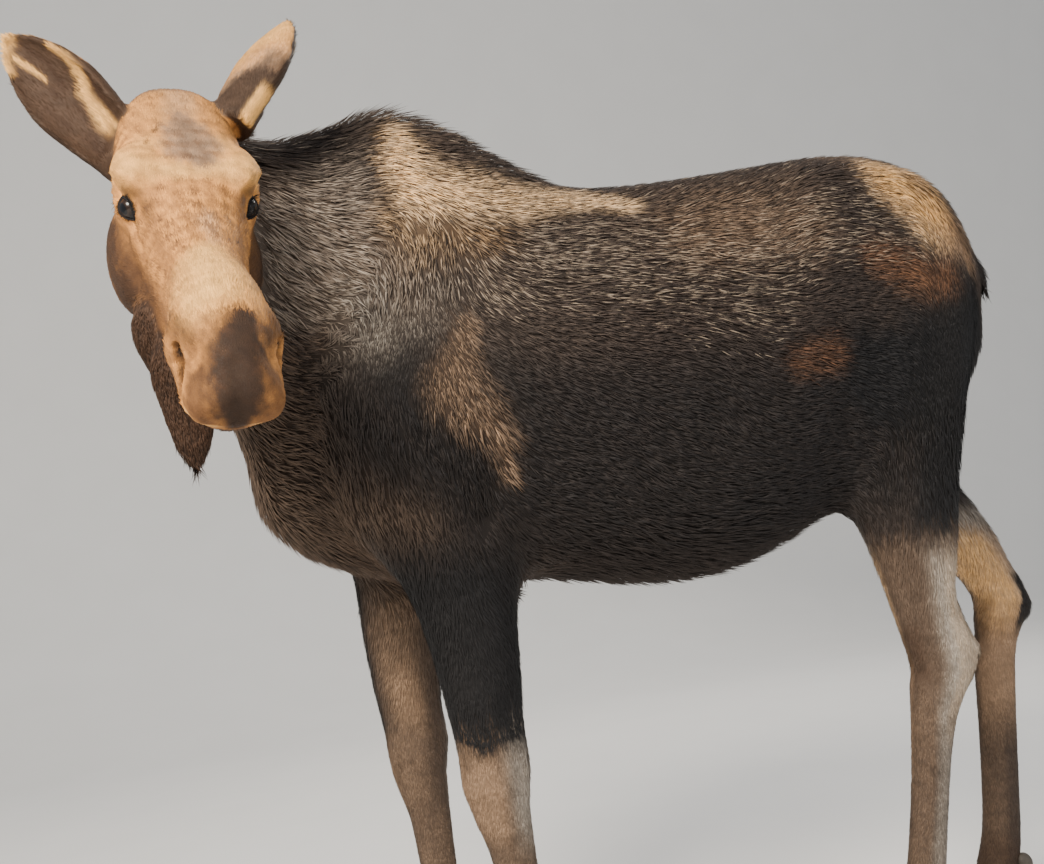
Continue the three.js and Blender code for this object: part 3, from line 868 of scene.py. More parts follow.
HAUNCH = [(450, 1130, 100), (560, 1130, 140), (700, 1190, 120), (640, 980, 130), (560, 880, 60)]
FLECKS = [
    (-240, 1390, 70), (-112, 1405, 110), (40, 1375, 120), (210, 1330, 120), (330, 1420, 80),
    (600, 1450, 90),
]
CHEST = [(-690, 1230, 90), (-640, 1050, 120), (-480, 960, 90)]


def jaw_share(places):
    """The lower jaw and the throat next to it, where the hair is short: 1 there, 0 elsewhere."""
    local = to_head(places)
    return ease(local[:, 2], -345, -275) * ease(local[:, 0], 230, 310) * ease(local[:, 0], 640, 560)


def shares_of(parts):
    return {name: parts[:, k] for k, name in enumerate(PARTS)}


def no_marks(places):
    return {name: np.zeros(len(places)) for name in MARKS}


def body_marks(flesh_part, places):
    """Markings of the trunk, neck and legs at places, by name."""
    seen = places[:, [0, 2]]
    wander = 0.16 * ripple(places, 260, 1) + 0.07 * ripple(places, 60, 2)

    def on(path, soft):
        return stroke(seen, path, soft, wander)

    # Share toward the top of the trunk. The brown it adds is partly the back's own browner hair and
    # partly painted light, the top lighter where light falls from above.
    upper = ease(places[:, 2], 1120, 1500)
    marks = no_marks(places)
    brown = strongest(
        0.85 * on(NECK_BROWN, 0.8),
        0.6 * on(BACK_TAN, 0.9),
        0.3 * upper,
        0.75 * on(RUMP_CROWN, 0.8),
        0.12 * on(SHOULDER, 0.9),
        0.7 * on(CHEST, 0.8),
    )
    marks["brown"] = brown * (1 - 0.85 * strongest(on(BACK_LINE, 0.6), on(LOIN_DARK, 0.9)))
    marks["grey"] = strongest(
        0.15 * on(SILVER, 1),
        0.2 * on(NECK_BROWN, 0.9),
        0.05 * on(SHOULDER, 0.9),
        0.9 * on(SADDLE, 0.9),
        0.7 * on(RUMP_TAN[:2], 1),
    )
    marks["tan"] = strongest(
        0.38 * on(ELBOW_STREAK, 0.9), 0.95 * on(RUMP_TAN, 0.8), 0.25 * on(BACK_TAN, 1)
    )
    marks["rust"] = strongest(0.5 * on(RUMP_RUST, 0.9), 0.35 * on(FLANK_RUST, 1))
    black = strongest(0.6 * on(LOW_DARK, 0.6), on(HAUNCH, 0.5), 0.3 * on(CREST, 0.6))
    black = black * (1 - 0.85 * on(CHEST, 0.6))
    marks["black"] = strongest(black, 0.8 * on(SHOULDER_DARK, 0.9))
    marks["cream"] = strongest(
        0.58 * on(SADDLE, 0.9), 0.14 * on(SADDLE_LOW, 1), 0.6 * on(RUMP_TAN[:2], 1)
    )
    worn = 1 - 0.45 * ease(places[:, 0], -480, -200) * ease(places[:, 0], 300, 200)
    for name in ("cream", "grey"):
        marks[name] = marks[name] * worn * (1 - 0.9 * on(CREST, 0.6))
    marks["fleck"] = strongest(on(FLECKS, 0.6), 0.45 * upper)
    for name in LEGS:
        mark = mark_foreleg if name.startswith("fore") else mark_hindleg
        mark(marks, flesh_part[name], *leg_frame(name, places), wander)
    return marks


def leg_frame(name, places):
    """Places on a leg: -1 in front to 1 behind, -1 on its inner side to 1 outside, and height."""
    side, _, line = LEGS[name]
    rows = np.array([(z, x, y, *reach) for (x, y, z), reach, _ in reversed(line)], float)
    x, y, z = (places - ORIGIN_SHIFT).T
    at_x, at_y, fore, back, wide = (np.interp(z, rows[:, 0], rows[:, k]) for k in range(1, 6))
    behind = x - at_x
    return behind / np.where(behind > 0, back, fore), (y - at_y) * side / wide, z


def blend(marks, name, amount, where):
    marks[name] = marks[name] * (1 - where) + amount * where


def fade(marks, names, where):
    for name in names.split():
        blend(marks, name, 0, where)


def mark_foreleg(marks, share, behind, outward, z, wander):
    """Black above, tan at the knee, olive brown below; a tan stripe down the inner side."""
    ragged = z + 150 * wander
    leg = share * ease(z, 1010, 880)
    inner = ease(outward, 0.1, -0.5)
    upper = ease(ragged, 548, 600)
    fade(marks, "tan cream grey fleck rust", leg)
    blend(marks, "black", upper * (1 - 0.8 * inner), leg)
    blend(marks, "brown", 0.75 - 0.5 * upper * (1 - inner), leg)
    stripe = ease(np.abs(behind + 0.15 + 0.5 * wander), 0.75, 0.1)
    stripe = stripe * ease(z, 540, 640) * ease(z, 930, 800)
    blend(marks, "tan", 0.3 + 0.4 * ease(z, 760, 660), leg * inner * stripe)
    knee = ease(ragged, 600, 555) * ease(z, 380, 470)
    blend(marks, "tan", 0.48 * (1 - inner) + 0.2, leg * knee * ease(behind, 0.5, -0.3))
    blend(marks, "grey", 0.55, leg * knee * ease(behind + 0.4 * wander, -0.2, 0.8) * (1 - inner))
    blend(marks, "tan", 0.12, leg * ease(z, 460, 400))
    blend(marks, "dusk", 0.5, leg * ease(z, 190, 120))


def mark_hindleg(marks, share, behind, outward, z, wander):
    """Brown in front, pale grey along the tendon, tan inside with a dark cap on the hock."""
    ragged = z + 170 * wander
    leg = share * ease(ragged, 905, 820)
    inner = ease(outward, 0.15, -0.4)
    fade(marks, "black cream fleck rust grey tan", leg)
    blend(marks, "brown", 0.85 - 0.45 * ease(z, 560, 420), leg)
    tendon = ease(behind + 0.5 * wander, -0.45, 0.35)
    height = ease(z, 420, 560) * ease(z, 850, 770)
    blend(marks, "grey", 0.78, leg * tendon * height * (1 - inner))
    blend(marks, "cream", 0.12, leg * ease(behind, 0.1, 0.4) * height * (1 - inner))
    lower = ease(behind + 0.4 * wander, -0.4, 0.4) * ease(z, 560, 460)
    blend(marks, "grey", 0.35, leg * lower * (1 - inner))
    blend(marks, "tan", 0.14, leg * ease(behind, 0, -0.4) * ease(z, 600, 480))
    bend = ease(behind, -0.45, -0.8) * ease(z, 540, 590) * ease(z, 700, 650)
    blend(marks, "dusk", 0.55, leg * bend)
    pale = ease(z, 330, 480) * ease(z, 850, 780)
    blend(marks, "tan", 0.75, leg * inner * pale)
    blend(marks, "grey", 0.7, leg * inner * pale * ease(z, 600, 680))
    blend(marks, "cream", 0.4, leg * inner * pale * ease(z, 560, 680) * ease(behind, 0.7, 0.0))
    blend(marks, "grey", 0.6, leg * inner * ease(z, 800, 860))
    cap = leg * (inner * ease(behind, 0.3, 0.5) * ease(z, 560, 610) * ease(z, 735, 700))
    blend(marks, "black", 0.95, cap)
    fade(marks, "tan cream grey", cap)
    blend(marks, "dusk", 0.5, leg * ease(z, 200, 120))


# Strokes on the head, in its frame: x, y, z and width. Those with y are on both sides.
PALE_BROW = [(220, 10, 2, 14), (212, 50, 2, 20), (206, 86, -4, 28), (168, 104, -20, 24)]
PALE_FOREHEAD = [(150, 60, 10, 22), (180, 76, 4, 26)]
PALE_CROWN = [(60, 0, 38, 70), (20, 0, 40, 60)]
PALE_BRIDGE = [(425, 0, -17, 24), (470, -8, -12, 42), (530, -10, -8, 50), (580, -22, -20, 34)]
CROWN_BROWN = [(20, 8, 40, 24), (70, 4, 34, 26)]
FOREHEAD_GREY = [(84, 4, 38, 16), (124, 2, 30, 34), (160, 10, 18, 40), (196, 22, 8, 24)]
BRIDGE_GREY = [(320, 12, -12, 18), (395, 16, -14, 16)]
SCARS = [
    [(121, -42, 24, 7), (112, -34, 28, 4)], [(150, -58, 14, 4), (141, -54, 18, 3)],
    [(112, 30, 32, 6), (124, 34, 28, 3)],
]
NOSE_DARK = [
    (608, 18, -28, 18), (640, 4, -38, 42), (664, 0, -58, 48), (680, 4, -80, 42),
    (690, 2, -108, 34), (688, 2, -138, 22),
]
NOSE_BROWN = [(650, 46, -60, 14), (660, 50, -88, 24), (672, 46, -114, 26), (672, 34, -136, 16)]
# Painted shade in the hollow of each nostril.
NOSTRIL_SHADE = [(548, 66, -62, 16), (584, 60, -56, 20), (612, 52, -50, 15)]
LIP_RIM = [
    (628, 62, -112, 4), (640, 61, -136, 5), (660, 53, -146, 5), (684, 20, -147, 5),
    (690, 0, -147, 3),
]
# Painted shade in the hollow above the eye's inner corner, toward the nose.
EYE_SHADE = [(218, 98, -30, 9), (246, 80, -30, 13), (264, 72, -36, 15), (286, 68, -48, 11)]
TEAR_LINE = [(246, 90, -76, 4), (266, 84, -76, 5), (280, 82, -90, 4)]
# Painted shade below the eye, under the fold of the lower lid.
UNDER_LID_SHADE = [(238, 92, -106, 11), (254, 88, -118, 12)]
LID_PALE = [(232, 92, -38, 5), (250, 86, -54, 5), (258, 86, -72, 5)]
# The lower cheek's own dark brown, deepened by painted shade on the side of the head that turns away.
CHEEK_DARK = [
    (150, 116, -140, 34), (215, 110, -170, 50), (300, 94, -196, 56), (380, 84, -206, 52),
    (450, 70, -206, 48), (540, 58, -190, 36),
]
# Toward the edge of the face as seen from the front: partly the cheek's own brown, partly painted shade
# where the side of the head turns away.
CHEEK_EDGE = [(176, 114, -120, 28), (226, 104, -138, 38), (290, 84, -158, 44), (360, 70, -166, 44)]
CHEEK_RUST = [(260, 104, -150, 36), (330, 76, -150, 40), (400, 70, -140, 36), (500, 60, -120, 26)]
# Painted shade along the side of the nose bridge, where the face turns from the bridge down to the
# cheek.
BRIDGE_SIDE_SHADE = [(318, 66, -56, 12), (380, 60, -58, 14), (440, 56, -58, 11)]
NAPE_MARKS = {"buff": 0.15, "brown": 0.9, "rust": 0.15, "cream": 0, "grey": 0.1}


def lid_marks(places):
    """How near a place lies to the dark rims of the lids: 1 on the rim."""
    rim = np.zeros(len(places))
    for side in (1, -1):
        off, across, upward, front = round_eye(places, side)
        opening = lid_opening(across, upward)
        edge = np.where(upward > 0, ease(opening, 1.42, 1.22), ease(opening, 1.2, 1.08))
        rim = np.maximum(rim, edge * (off < EYE_RADIUS + 12) * ease(front, 0.05, 0.2))
    return rim


def head_marks(places):
    """Markings of the head at places, by name."""
    local = to_head(places)
    folded = np.column_stack([local[:, 0], np.abs(local[:, 1]), local[:, 2]])
    mottled = ripple(local, 26, 14)
    wander = 0.22 * ripple(local, 70, 5) + 0.12 * ripple(local, 18, 6)

    def on(path, soft):
        return stroke(folded, path, soft, wander)

    def alone(path, soft):
        return stroke(local, path, soft, wander)

    under = ease(local[:, 2], -140, -235)
    # Below the line of the mouth at the front: its dusk is painted shade under the overhanging upper
    # lip.
    chin = ease(local[:, 2], -150, -156) * ease(local[:, 0], 470, 560)
    nape = ease(local[:, 0] + 0.5 * local[:, 2] + 30 * wander, 40, -40)
    nose = alone(NOSE_DARK, 1.15)
    forehead = alone(FOREHEAD_GREY, 0.6)
    marks = no_marks(places)
    marks["buff"] = np.ones(len(places))
    pale = strongest(
        0.72 * on(PALE_BROW, 1),
        0.4 * on(PALE_FOREHEAD, 1),
        0.1 * alone(PALE_CROWN, 0.8),
        0.95 * alone(PALE_BRIDGE, 1),
        0.5 * on(LID_PALE, 0.8),
    )
    marks["cream"] = pale * (1 - nose) * (1 - 0.8 * forehead)
    marks["grey"] = strongest(
        0.55 * forehead, 0.3 * alone(BRIDGE_GREY, 0.8), 0.3 * alone(CROWN_BROWN, 0.8)
    )
    # Rust along the side of the bridge is painted shade; on the cheek's edge it is partly the cheek's
    # own colour and partly painted shade.
    rust = strongest(
        0.75 * on(CHEEK_RUST, 0.9),
        0.6 * on(BRIDGE_SIDE_SHADE, 0.9),
        0.95 * on(NOSE_BROWN, 0.7),
        0.5 * on(CHEEK_EDGE, 0.9),
        0.3 + 0.4 * mottled,
        0.3 * alone(PALE_CROWN, 0.6),
    )
    marks["rust"] = np.clip(rust * (1 - 0.8 * marks["cream"]), 0, 1) * (1 - nose)
    marks["black"] = 0.97 * ease(nose, 0.1, 0.8)
    marks["cream"] *= 1 - ease(nose, 0, 0.6)
    # Dusk is partly the face's own dark colour and partly painted shade: in the hollow beside the eye,
    # under the lower lid, in the nostrils, on the chin under the upper lip and on the cheeks that turn
    # away.
    marks["dusk"] = strongest(
        0.35 * nose,
        0.55 * on(NOSE_BROWN, 0.8),
        0.97 * on(CHEEK_DARK, 0.6),
        0.7 * on(EYE_SHADE, 0.9),
        0.92 * under,
        0.8 * on(NOSTRIL_SHADE, 0.9),
        0.75 * on(UNDER_LID_SHADE, 0.8),
        0.65 * on(TEAR_LINE, 0.8),
        0.95 * chin,
        0.58 * forehead,
        0.16 + 0.2 * mottled,
        0.85 * on(CHEEK_EDGE, 0.9),
        *(0.8 * alone(scar, 0.5) for scar in SCARS),
    )
    for name, strength in NAPE_MARKS.items():
        blend(marks, name, strength, nape)
    rim = 0.9 * on(LIP_RIM, 0.7) * (1 - chin)
    marks["dusk"] *= 1 - rim
    blend(marks, "cream", 1, rim)
    blend(marks, "rust", 0, rim)
    nostril = [(x, y - 4, z, width + 2) for x, y, z, width in NOSTRIL]
    bare = strongest(lid_marks(places), on(nostril, 0.4))
    fade(marks, "cream buff rust grey dusk", bare)
    marks["black"] = strongest(marks["black"], bare)
    return marks


# Streaks in the hollow of an ear: along the ear from its root (250 long), across it, and width.
EAR_PALE = [
    [(192, 42, 5), (165, 48, 7), (146, 46, 9), (130, 34, 10), (116, 22, 12), (96, 17, 13), (72, 8, 13)],
    [(218, -14, 6), (190, -8, 5), (172, -6, 4)], [(244, 2, 14), (230, -22, 9), (206, -34, 6)],
    [(84, 24, 7), (66, 20, 8)],
]
EAR_DARK = [
    [(225, 11, 6), (205, 13, 9), (184, 19, 10), (162, 12, 12), (146, 6, 14)],
    [(156, -8, 8), (140, -12, 8)], [(142, -38, 7), (122, -35, 9), (104, -34, 8)],
    [(118, 0, 8), (96, -6, 9)], [(72, -20, 15), (50, -26, 15)],
    [(134, 54, 6), (112, 45, 9), (85, 38, 10)],
]


def ear_marks(side, places):
    """Markings of an ear: pale tip and dark base behind, olive and cream within."""
    root, tip, opening = (np.array(v, float) for v in EARS[side])
    along = unit(tip - root)
    opening = unit(opening - opening @ along * along)
    across = np.cross(along, opening)
    off = places - root - ORIGIN_SHIFT
    share = off @ along / np.linalg.norm(tip - root)
    wide = off @ across
    half, deep = (np.interp(share, *np.array(EAR_FORM).T[[0, k]]) for k in (1, 2))
    shell = -deep * np.sqrt(np.clip(1 - (wide / half) ** 2, 0, 1))
    within = ease(off @ opening - shell, 3, 6)
    wander = 0.2 * ripple(places, 60, 8) + 0.1 * ripple(places, 20, 9)
    flat = np.column_stack([share * 250, wide if side == "right" else -wide])
    leaning = share - 0.0042 * np.clip(flat[:, 1], -40, 50) + 0.25 * wander
    base = ease(leaning, 0.42, 0.2)
    outside = 1 - within

    def on(paths):
        return strongest(*(stroke(flat, path, 0.8, wander) for path in paths))

    marks = no_marks(places)
    marks["buff"] = np.where(within > 0.5, 0.1, 1 - 0.8 * base)
    marks["brown"] = strongest(0.5 * base * outside, 0.9 * within)
    marks["grey"] = 0.25 * outside * ease(leaning, 0.6, 0.3)
    hollow = np.maximum(0.8, 0.97 * on(EAR_DARK))
    marks["dusk"] = strongest(0.9 * base * outside, hollow * within)
    pale = 0.9 * on(EAR_PALE) * within
    marks["cream"] = strongest(0.9 * pale, 0.6 * outside * ease(leaning, 0.4, 0.75))
    marks["tan"] = 0.25 * outside * ease(leaning, 0.2, 0.5) + 0.12 * within
    marks["dusk"] *= 1 - pale
    medial = ease(flat[:, 1] / half, 0.84, 0.94) * ease(share, 0.36, 0.24) * (side == "left")
    marks["cream"] = strongest(marks["cream"], medial)
    marks["dusk"] *= 1 - medial
    marks["brown"] *= 1 - medial
    return marks


def markings(parts, places):
    """The strength of each marking at places that belong to parts by the given shares."""
    shares = shares_of(parts)
    marks = body_marks(shares, places)
    for name, more in (
        ("head", head_marks(places)),
        ("ear_left", ear_marks("left", places)),
        ("ear_right", ear_marks("right", places)),
    ):
        share = ease(shares[name], 0.25, 0.75)
        for mark in MARKS:
            blend(marks, mark, more[mark], share)
    bell, tail = shares["bell"], shares["tail"]
    fade(marks, " ".join(MARKS), ease(bell + tail, 0.2, 0.7))
    marks["black"] = strongest(marks["black"], 0.7 * tail, 0.6 * bell)
    marks["dusk"] = strongest(marks["dusk"], 0.9 * bell)
    jaw = jaw_share(places) * (bell + shares["neck"])
    for name, strength in (("brown", 0.4), ("rust", 0.35), ("dusk", 0.8)):
        blend(marks, name, strength, jaw)
    return marks


# ---- shaders ----


class Value:
    """A shader socket that takes part in Python sums."""

    def __init__(self, shader, socket):
        self.shader = shader
        self.socket = socket

    def sum(self, operation, *terms):
        made = self.shader.node("Math", {"operation": operation}, dict(enumerate(terms)))
        return Value(self.shader, made.outputs[0])

    def __add__(self, other):
        return self.sum("ADD", self, other)

    def __sub__(self, other):
        return self.sum("SUBTRACT", self, other)

    def __rsub__(self, other):
        return self.sum("SUBTRACT", other, self)

    def __mul__(self, other):
        return self.sum("MULTIPLY", self, other)

    def __gt__(self, other):
        return self.sum("GREATER_THAN", self, other)

    __radd__ = __add__
    __rmul__ = __mul__


class Shader:
    """A material and its nodes."""

    def __init__(self, name):
        self.material = bpy.data.materials.new(name)
        self.material.use_nodes = True
        self.tree = self.material.node_tree
        self.tree.nodes.clear()

    def node(self, kind, settings=None, sockets=None):
        made = self.tree.nodes.new("ShaderNode" + kind)
        for key, value in (settings or {}).items():
            setattr(made, key, value)
        for key, value in (sockets or {}).items():
            self.plug(made.inputs[key], value)
        return made

    def plug(self, socket, value):
        if isinstance(value, Value):
            value = value.socket
        if isinstance(value, bpy.types.NodeSocket):
            self.tree.links.new(value, socket)
        elif hasattr(value, "__len__") and len(value) == 3 and socket.type == "RGBA":
            socket.default_value = (*value, 1)
        else:
            socket.default_value = value

    def place(self):
        return self.node("TexCoord").outputs["Object"]

    def attribute(self, name):
        return Value(self, self.node("Attribute", {"attribute_name": name}).outputs["Fac"])

    def noise(self, scale, detail=2.0, vector=None, stretch=None):
        vector = vector or self.place()
        if stretch:
            vector = self.node("Mapping", {}, {"Vector": vector, "Scale": stretch}).outputs[0]
        made = self.node("TexNoise", {}, {"Vector": vector, "Scale": scale, "Detail": detail})
        return Value(self, made.outputs["Fac"])

    def mix(self, a, b, factor, blend="MIX"):
        settings = {"data_type": "RGBA", "blend_type": blend}
        return self.node("Mix", settings, {0: factor, 6: a, 7: b}).outputs[2]

    def ease(self, value, start, end):
        sockets = {"Value": value, "From Min": start, "From Max": end}
        made = self.node("MapRange", {"interpolation_type": "SMOOTHSTEP"}, sockets)
        return Value(self, made.outputs["Result"])

    def bump(self, height, distance, strength=1.0):
        sockets = {"Height": height, "Distance": distance, "Strength": strength}
        return self.node("Bump", {}, sockets).outputs["Normal"]

    def finish(self, **sockets):
        names = {key.replace("_", " "): value for key, value in sockets.items()}
        surface = self.node("BsdfPrincipled", {}, names)
        self.node("OutputMaterial", {}, {"Surface": surface.outputs[0]})
        return self.material


def marked_colour(shader, colours, strand=0.0):
    """The coat's colour from the markings that lie on the mesh, hair by hair where they meet."""
    ragged = (shader.noise(55.0, 3.0) - 0.5) * 1.4 + strand
    colour = colours.dark
    for name in MARKS[:-1]:
        mark = shader.attribute(name)
        factor = shader.node("Clamp", {}, {0: mark + ragged * mark * (1 - mark)}).outputs[0]
        colour = shader.mix(colour, getattr(colours, name), factor)
    return colour


def skin_material(colours):
    shader = Shader("moose_skin")
    colour = marked_colour(shader, colours)
    strands = shader.noise(620.0, 2.0)
    # Painted shade: where the hair is long the skin is darkened, standing for the shade down among the
    # tufts; where the hair is short it keeps its colour.
    shade_among_tufts = shader.mix(colour, (0.36, 0.34, 0.33), 1.0, "MULTIPLY")
    colour = shader.mix(shade_among_tufts, colour, shader.attribute("short"))
    darker = shader.mix(colour, (0.8, 0.78, 0.77), 1.0, "MULTIPLY")
    colour = shader.mix(darker, colour, shader.ease(strands, 0.3, 0.7))
    normal = shader.bump(strands + shader.noise(900.0, 1.0) * 0.4, 0.0012, 0.6)
    return shader.finish(Base_Color=colour, Roughness=0.82, Specular_IOR_Level=0.2, Normal=normal)


def coat_material(colours):
    """Hair: darker at the root, each tuft a little lighter or darker, some with pale tips."""
    shader = Shader("moose_coat")
    chance = shader.attribute("chance")
    colour = marked_colour(shader, colours, (chance - 0.5) * 2.0)
    along = shader.attribute("along")
    clump = shader.noise(60.0, 2.0, stretch=(0.35, 1, 1))
    light = 0.55 + chance * 0.5 + along * 0.4 + (clump - 0.5) * 0.7
    shade = shader.node("CombineColor", {}, {0: light, 1: light, 2: light}).outputs[0]
    colour = shader.mix(colour, shade, 1.0, "MULTIPLY")
    pale = (shader.attribute("fleck") * 0.42 + (clump - 0.5) * 0.5 + chance > 1.16) * along
    colour = shader.mix(colour, colours.fleck, pale * 0.8)
    return shader.finish(Base_Color=colour, Roughness=0.68, Specular_IOR_Level=0.22)


def put_marks(mesh, marks):
    for name, values in marks.items():
        attribute = mesh.attributes.new(name, "FLOAT", "POINT")
        attribute.data.foreach_set("value", values.astype(np.float32))


# ---- the coat ----


def lie_of_hair(flesh):
    """The way that the hair runs at each vertex of the skin, along the skin."""
    x = flesh.places[:, 0]
    normals = normals_here(flesh)
    side = 1 - np.abs(normals[:, 2])
    run = unit(flesh.runs + 1e-9)
    fall = 0.5 * flesh.part("trunk") * side + 0.75 * flesh.part("neck") * side
    rump = ease(x, 560, 760) * flesh.part("trunk", "hindleg_left", "hindleg_right")
    fall = fall + 1.6 * rump + 0.25 * flesh.part("head") * side
    run[:, 2] -= fall
    run[:, 0] += 0.6 * flesh.part("neck")
    swirl = 0.28 * ripple(flesh.places, 190, 11) + 0.12 * ripple(flesh.places, 50, 12)
    swirl = swirl * (1 - 0.6 * flesh.part("head"))
    run = unit(run - dot(run, normals)[:, None] * normals)
    across = np.cross(normals, run)
    turn = swirl[:, None]
    return unit(run * np.cos(turn) + across * np.sin(turn)), normals


class Coat:
    """Where tufts may root: the skin's triangles, and what is known at their corners."""

    def __init__(self, flesh):
        mesh = flesh.mesh
        mesh.calc_loop_triangles()
        count = len(mesh.loop_triangles)
        corners = np.empty(count * 3, np.int32)
        mesh.loop_triangles.foreach_get("vertices", corners)
        loops = np.empty(count * 3, np.int32)
        mesh.loop_triangles.foreach_get("loops", loops)
        unwrap = np.empty(len(mesh.loops) * 2)
        mesh.uv_layers["OFBake"].data.foreach_get("uv", unwrap)
        self.corners = corners.reshape(-1, 3)
        self.unwrap = unwrap.reshape(-1, 2)[loops.reshape(-1, 3)]
        self.places = flesh.places
        self.parts = flesh.parts
        self.run, self.normals = lie_of_hair(flesh)
        a, b, c = (self.places[self.corners[:, k]] for k in range(3))
        self.areas = np.linalg.norm(np.cross(b - a, c - a), axis=1) / 2e6
        self.middles = (a + b + c) / 3
        self.share = self.parts[self.corners].mean(axis=1)

    def roots(self, weight, rng):
        """Random roots, weight of them to a square metre of each triangle."""
        expected = self.areas * weight
        total = int(round(expected.sum()))
        chosen = rng.choice(len(expected), total, p=expected / expected.sum())
        u, v = rng.random(total), rng.random(total)
        flip = u + v > 1
        u[flip], v[flip] = 1 - u[flip], 1 - v[flip]
        shares = np.column_stack([1 - u - v, u, v])

        def blended(values):
            return np.einsum("nk,nkd->nd", shares, values)

        corners = self.corners[chosen]
        return {
            "place": blended(self.places[corners]),
            "normal": unit(blended(self.normals[corners])),
            "run": unit(blended(self.run[corners])),
            "parts": blended(self.parts[corners]),
            "unwrap": blended(self.unwrap[chosen]),
        }


# A tuft: share of the length, share of the width, and how far the ridge rises.
STRAIGHT = {
    "corners": np.array([(0, 0, -0.25), (0.32, -0.5, -0.12), (0.32, 0.5, -0.12), (1, 0, 0)]),
    "faces": np.array([(0, 1, 2), (1, 3, 2), (0, 3, 1), (0, 2, 3)]),
}
BENT = {
    "corners": np.array(
        [(0, 0, -0.25), (0.36, -0.5, -0.2), (0.36, 0.5, -0.2), (0.5, 0, 0.12), (1, 0, 0)]
    ),
    "faces": np.array([(0, 1, 3), (0, 3, 2), (3, 1, 4), (3, 4, 2), (0, 2, 1), (1, 2, 4)]),
}
PATCH = 0.0015  # half the width of a tuft's patch on the unwrap
TUFT_BEND = 0.3  # how much of its rise a tuft has lost at its tip


def calm_hair(parts, places):
    """1 where the hair is so short and even that the skin's own shading and colour carry it."""
    share = shares_of(parts)
    low = 0.7 * ease(places[:, 2], 1050, 800)
    calm = share["head"] + 0.7 * (share["ear_left"] + share["ear_right"])
    return np.clip(calm + low * sum(share[name] for name in LEGS), 0, 1)


def tuft_mesh(name, roots, length, width, lift, bend, shape, rng):
    """One mesh of a tuft at every root."""
    count = len(length)
    turn = rng.normal(0, 0.16, count)
    normal = roots["normal"]
    run = unit(roots["run"] - dot(roots["run"], normal)[:, None] * normal)
    across = np.cross(normal, run)
    run = run * np.cos(turn)[:, None] + across * np.sin(turn)[:, None]
    across = np.cross(normal, run)
    share, wide, ridge = shape["corners"].T
    forward = share[None, :] * length[:, None] * np.cos(lift)[:, None]
    rise = share * (1 - bend * share) * length[:, None] * np.sin(lift)[:, None]
    rise = rise + ridge[None, :] * width[:, None]
    sideways = wide[None, :] * width[:, None]
    places = roots["place"][:, None, :] + forward[..., None] * run[:, None, :]
    places = places + rise[..., None] * normal[:, None, :]
    places = places + sideways[..., None] * across[:, None, :]
    corners = len(share)
    faces = (shape["faces"][None] + corners * np.arange(count)[:, None, None]).reshape(-1)
    mesh = bpy.data.meshes.new(name)
    mesh.vertices.add(count * corners)
    mesh.vertices.foreach_set("co", (places * MM).astype(np.float32).ravel())
    mesh.loops.add(len(faces))
    mesh.loops.foreach_set("vertex_index", faces.astype(np.int32))
    mesh.polygons.add(len(faces) // 3)
    mesh.polygons.foreach_set("loop_start", np.arange(0, len(faces), 3, dtype=np.int32))
    mesh.update(calc_edges=True)
    mesh.shade_smooth()
    calm = calm_hair(roots["parts"], roots["place"])
    own = np.empty(count * corners * 3, np.float32)
    mesh.vertex_normals.foreach_get("vector", own)
    under = np.repeat(normal * (0.35 + 1.6 * calm)[:, None], corners, axis=0)
    mesh.normals_split_custom_set_from_vertices(unit(own.reshape(-1, 3) + under))
    marks = markings(roots["parts"], roots["place"])
    put_marks(mesh, {key: np.repeat(values, corners) for key, values in marks.items()})
    chance = 0.5 + (rng.random(count) - 0.5) * (1 - 0.75 * calm)
    along = np.tile(share, count) * np.repeat(1 - 0.6 * calm, corners)
    put_marks(mesh, {"chance": np.repeat(chance, corners), "along": along})
    offsets = np.column_stack([wide * 2, share * 2 - 1]) * PATCH
    unwrap = (roots["unwrap"][:, None, :] + offsets[None]).reshape(-1, 2)
    layer = mesh.uv_layers.new(name="OFBake")
    layer.data.foreach_set("uv", unwrap[faces].astype(np.float32).ravel())
    return mesh


def coat_piece(name, coat, weight, shape):
    """Tufts over part of the skin, weight of them to a square metre of each triangle."""
    rng = np.random.default_rng(SEED + sum(map(ord, name)))
    roots = coat.roots(weight * bpy.context.scene.moose_coat.density, rng)
    length, width, lift = hair_sizes(roots["place"], roots["parts"])
    count = len(length)
    length = length * rng.uniform(0.7, 1.25, count)
    width = width * rng.uniform(0.75, 1.3, count)
    lift = np.radians(lift * rng.uniform(0.6, 1.5, count))
    mesh = tuft_mesh(name, roots, length, width, lift, TUFT_BEND, shape, rng)
    mesh.materials.append(bpy.data.materials["moose_coat"])
    return placed(name, mesh)


MANE = [(-640, 1660, 60), (-372, 1790, 90), (-250, 1740, 70), (-120, 1640, 40)]


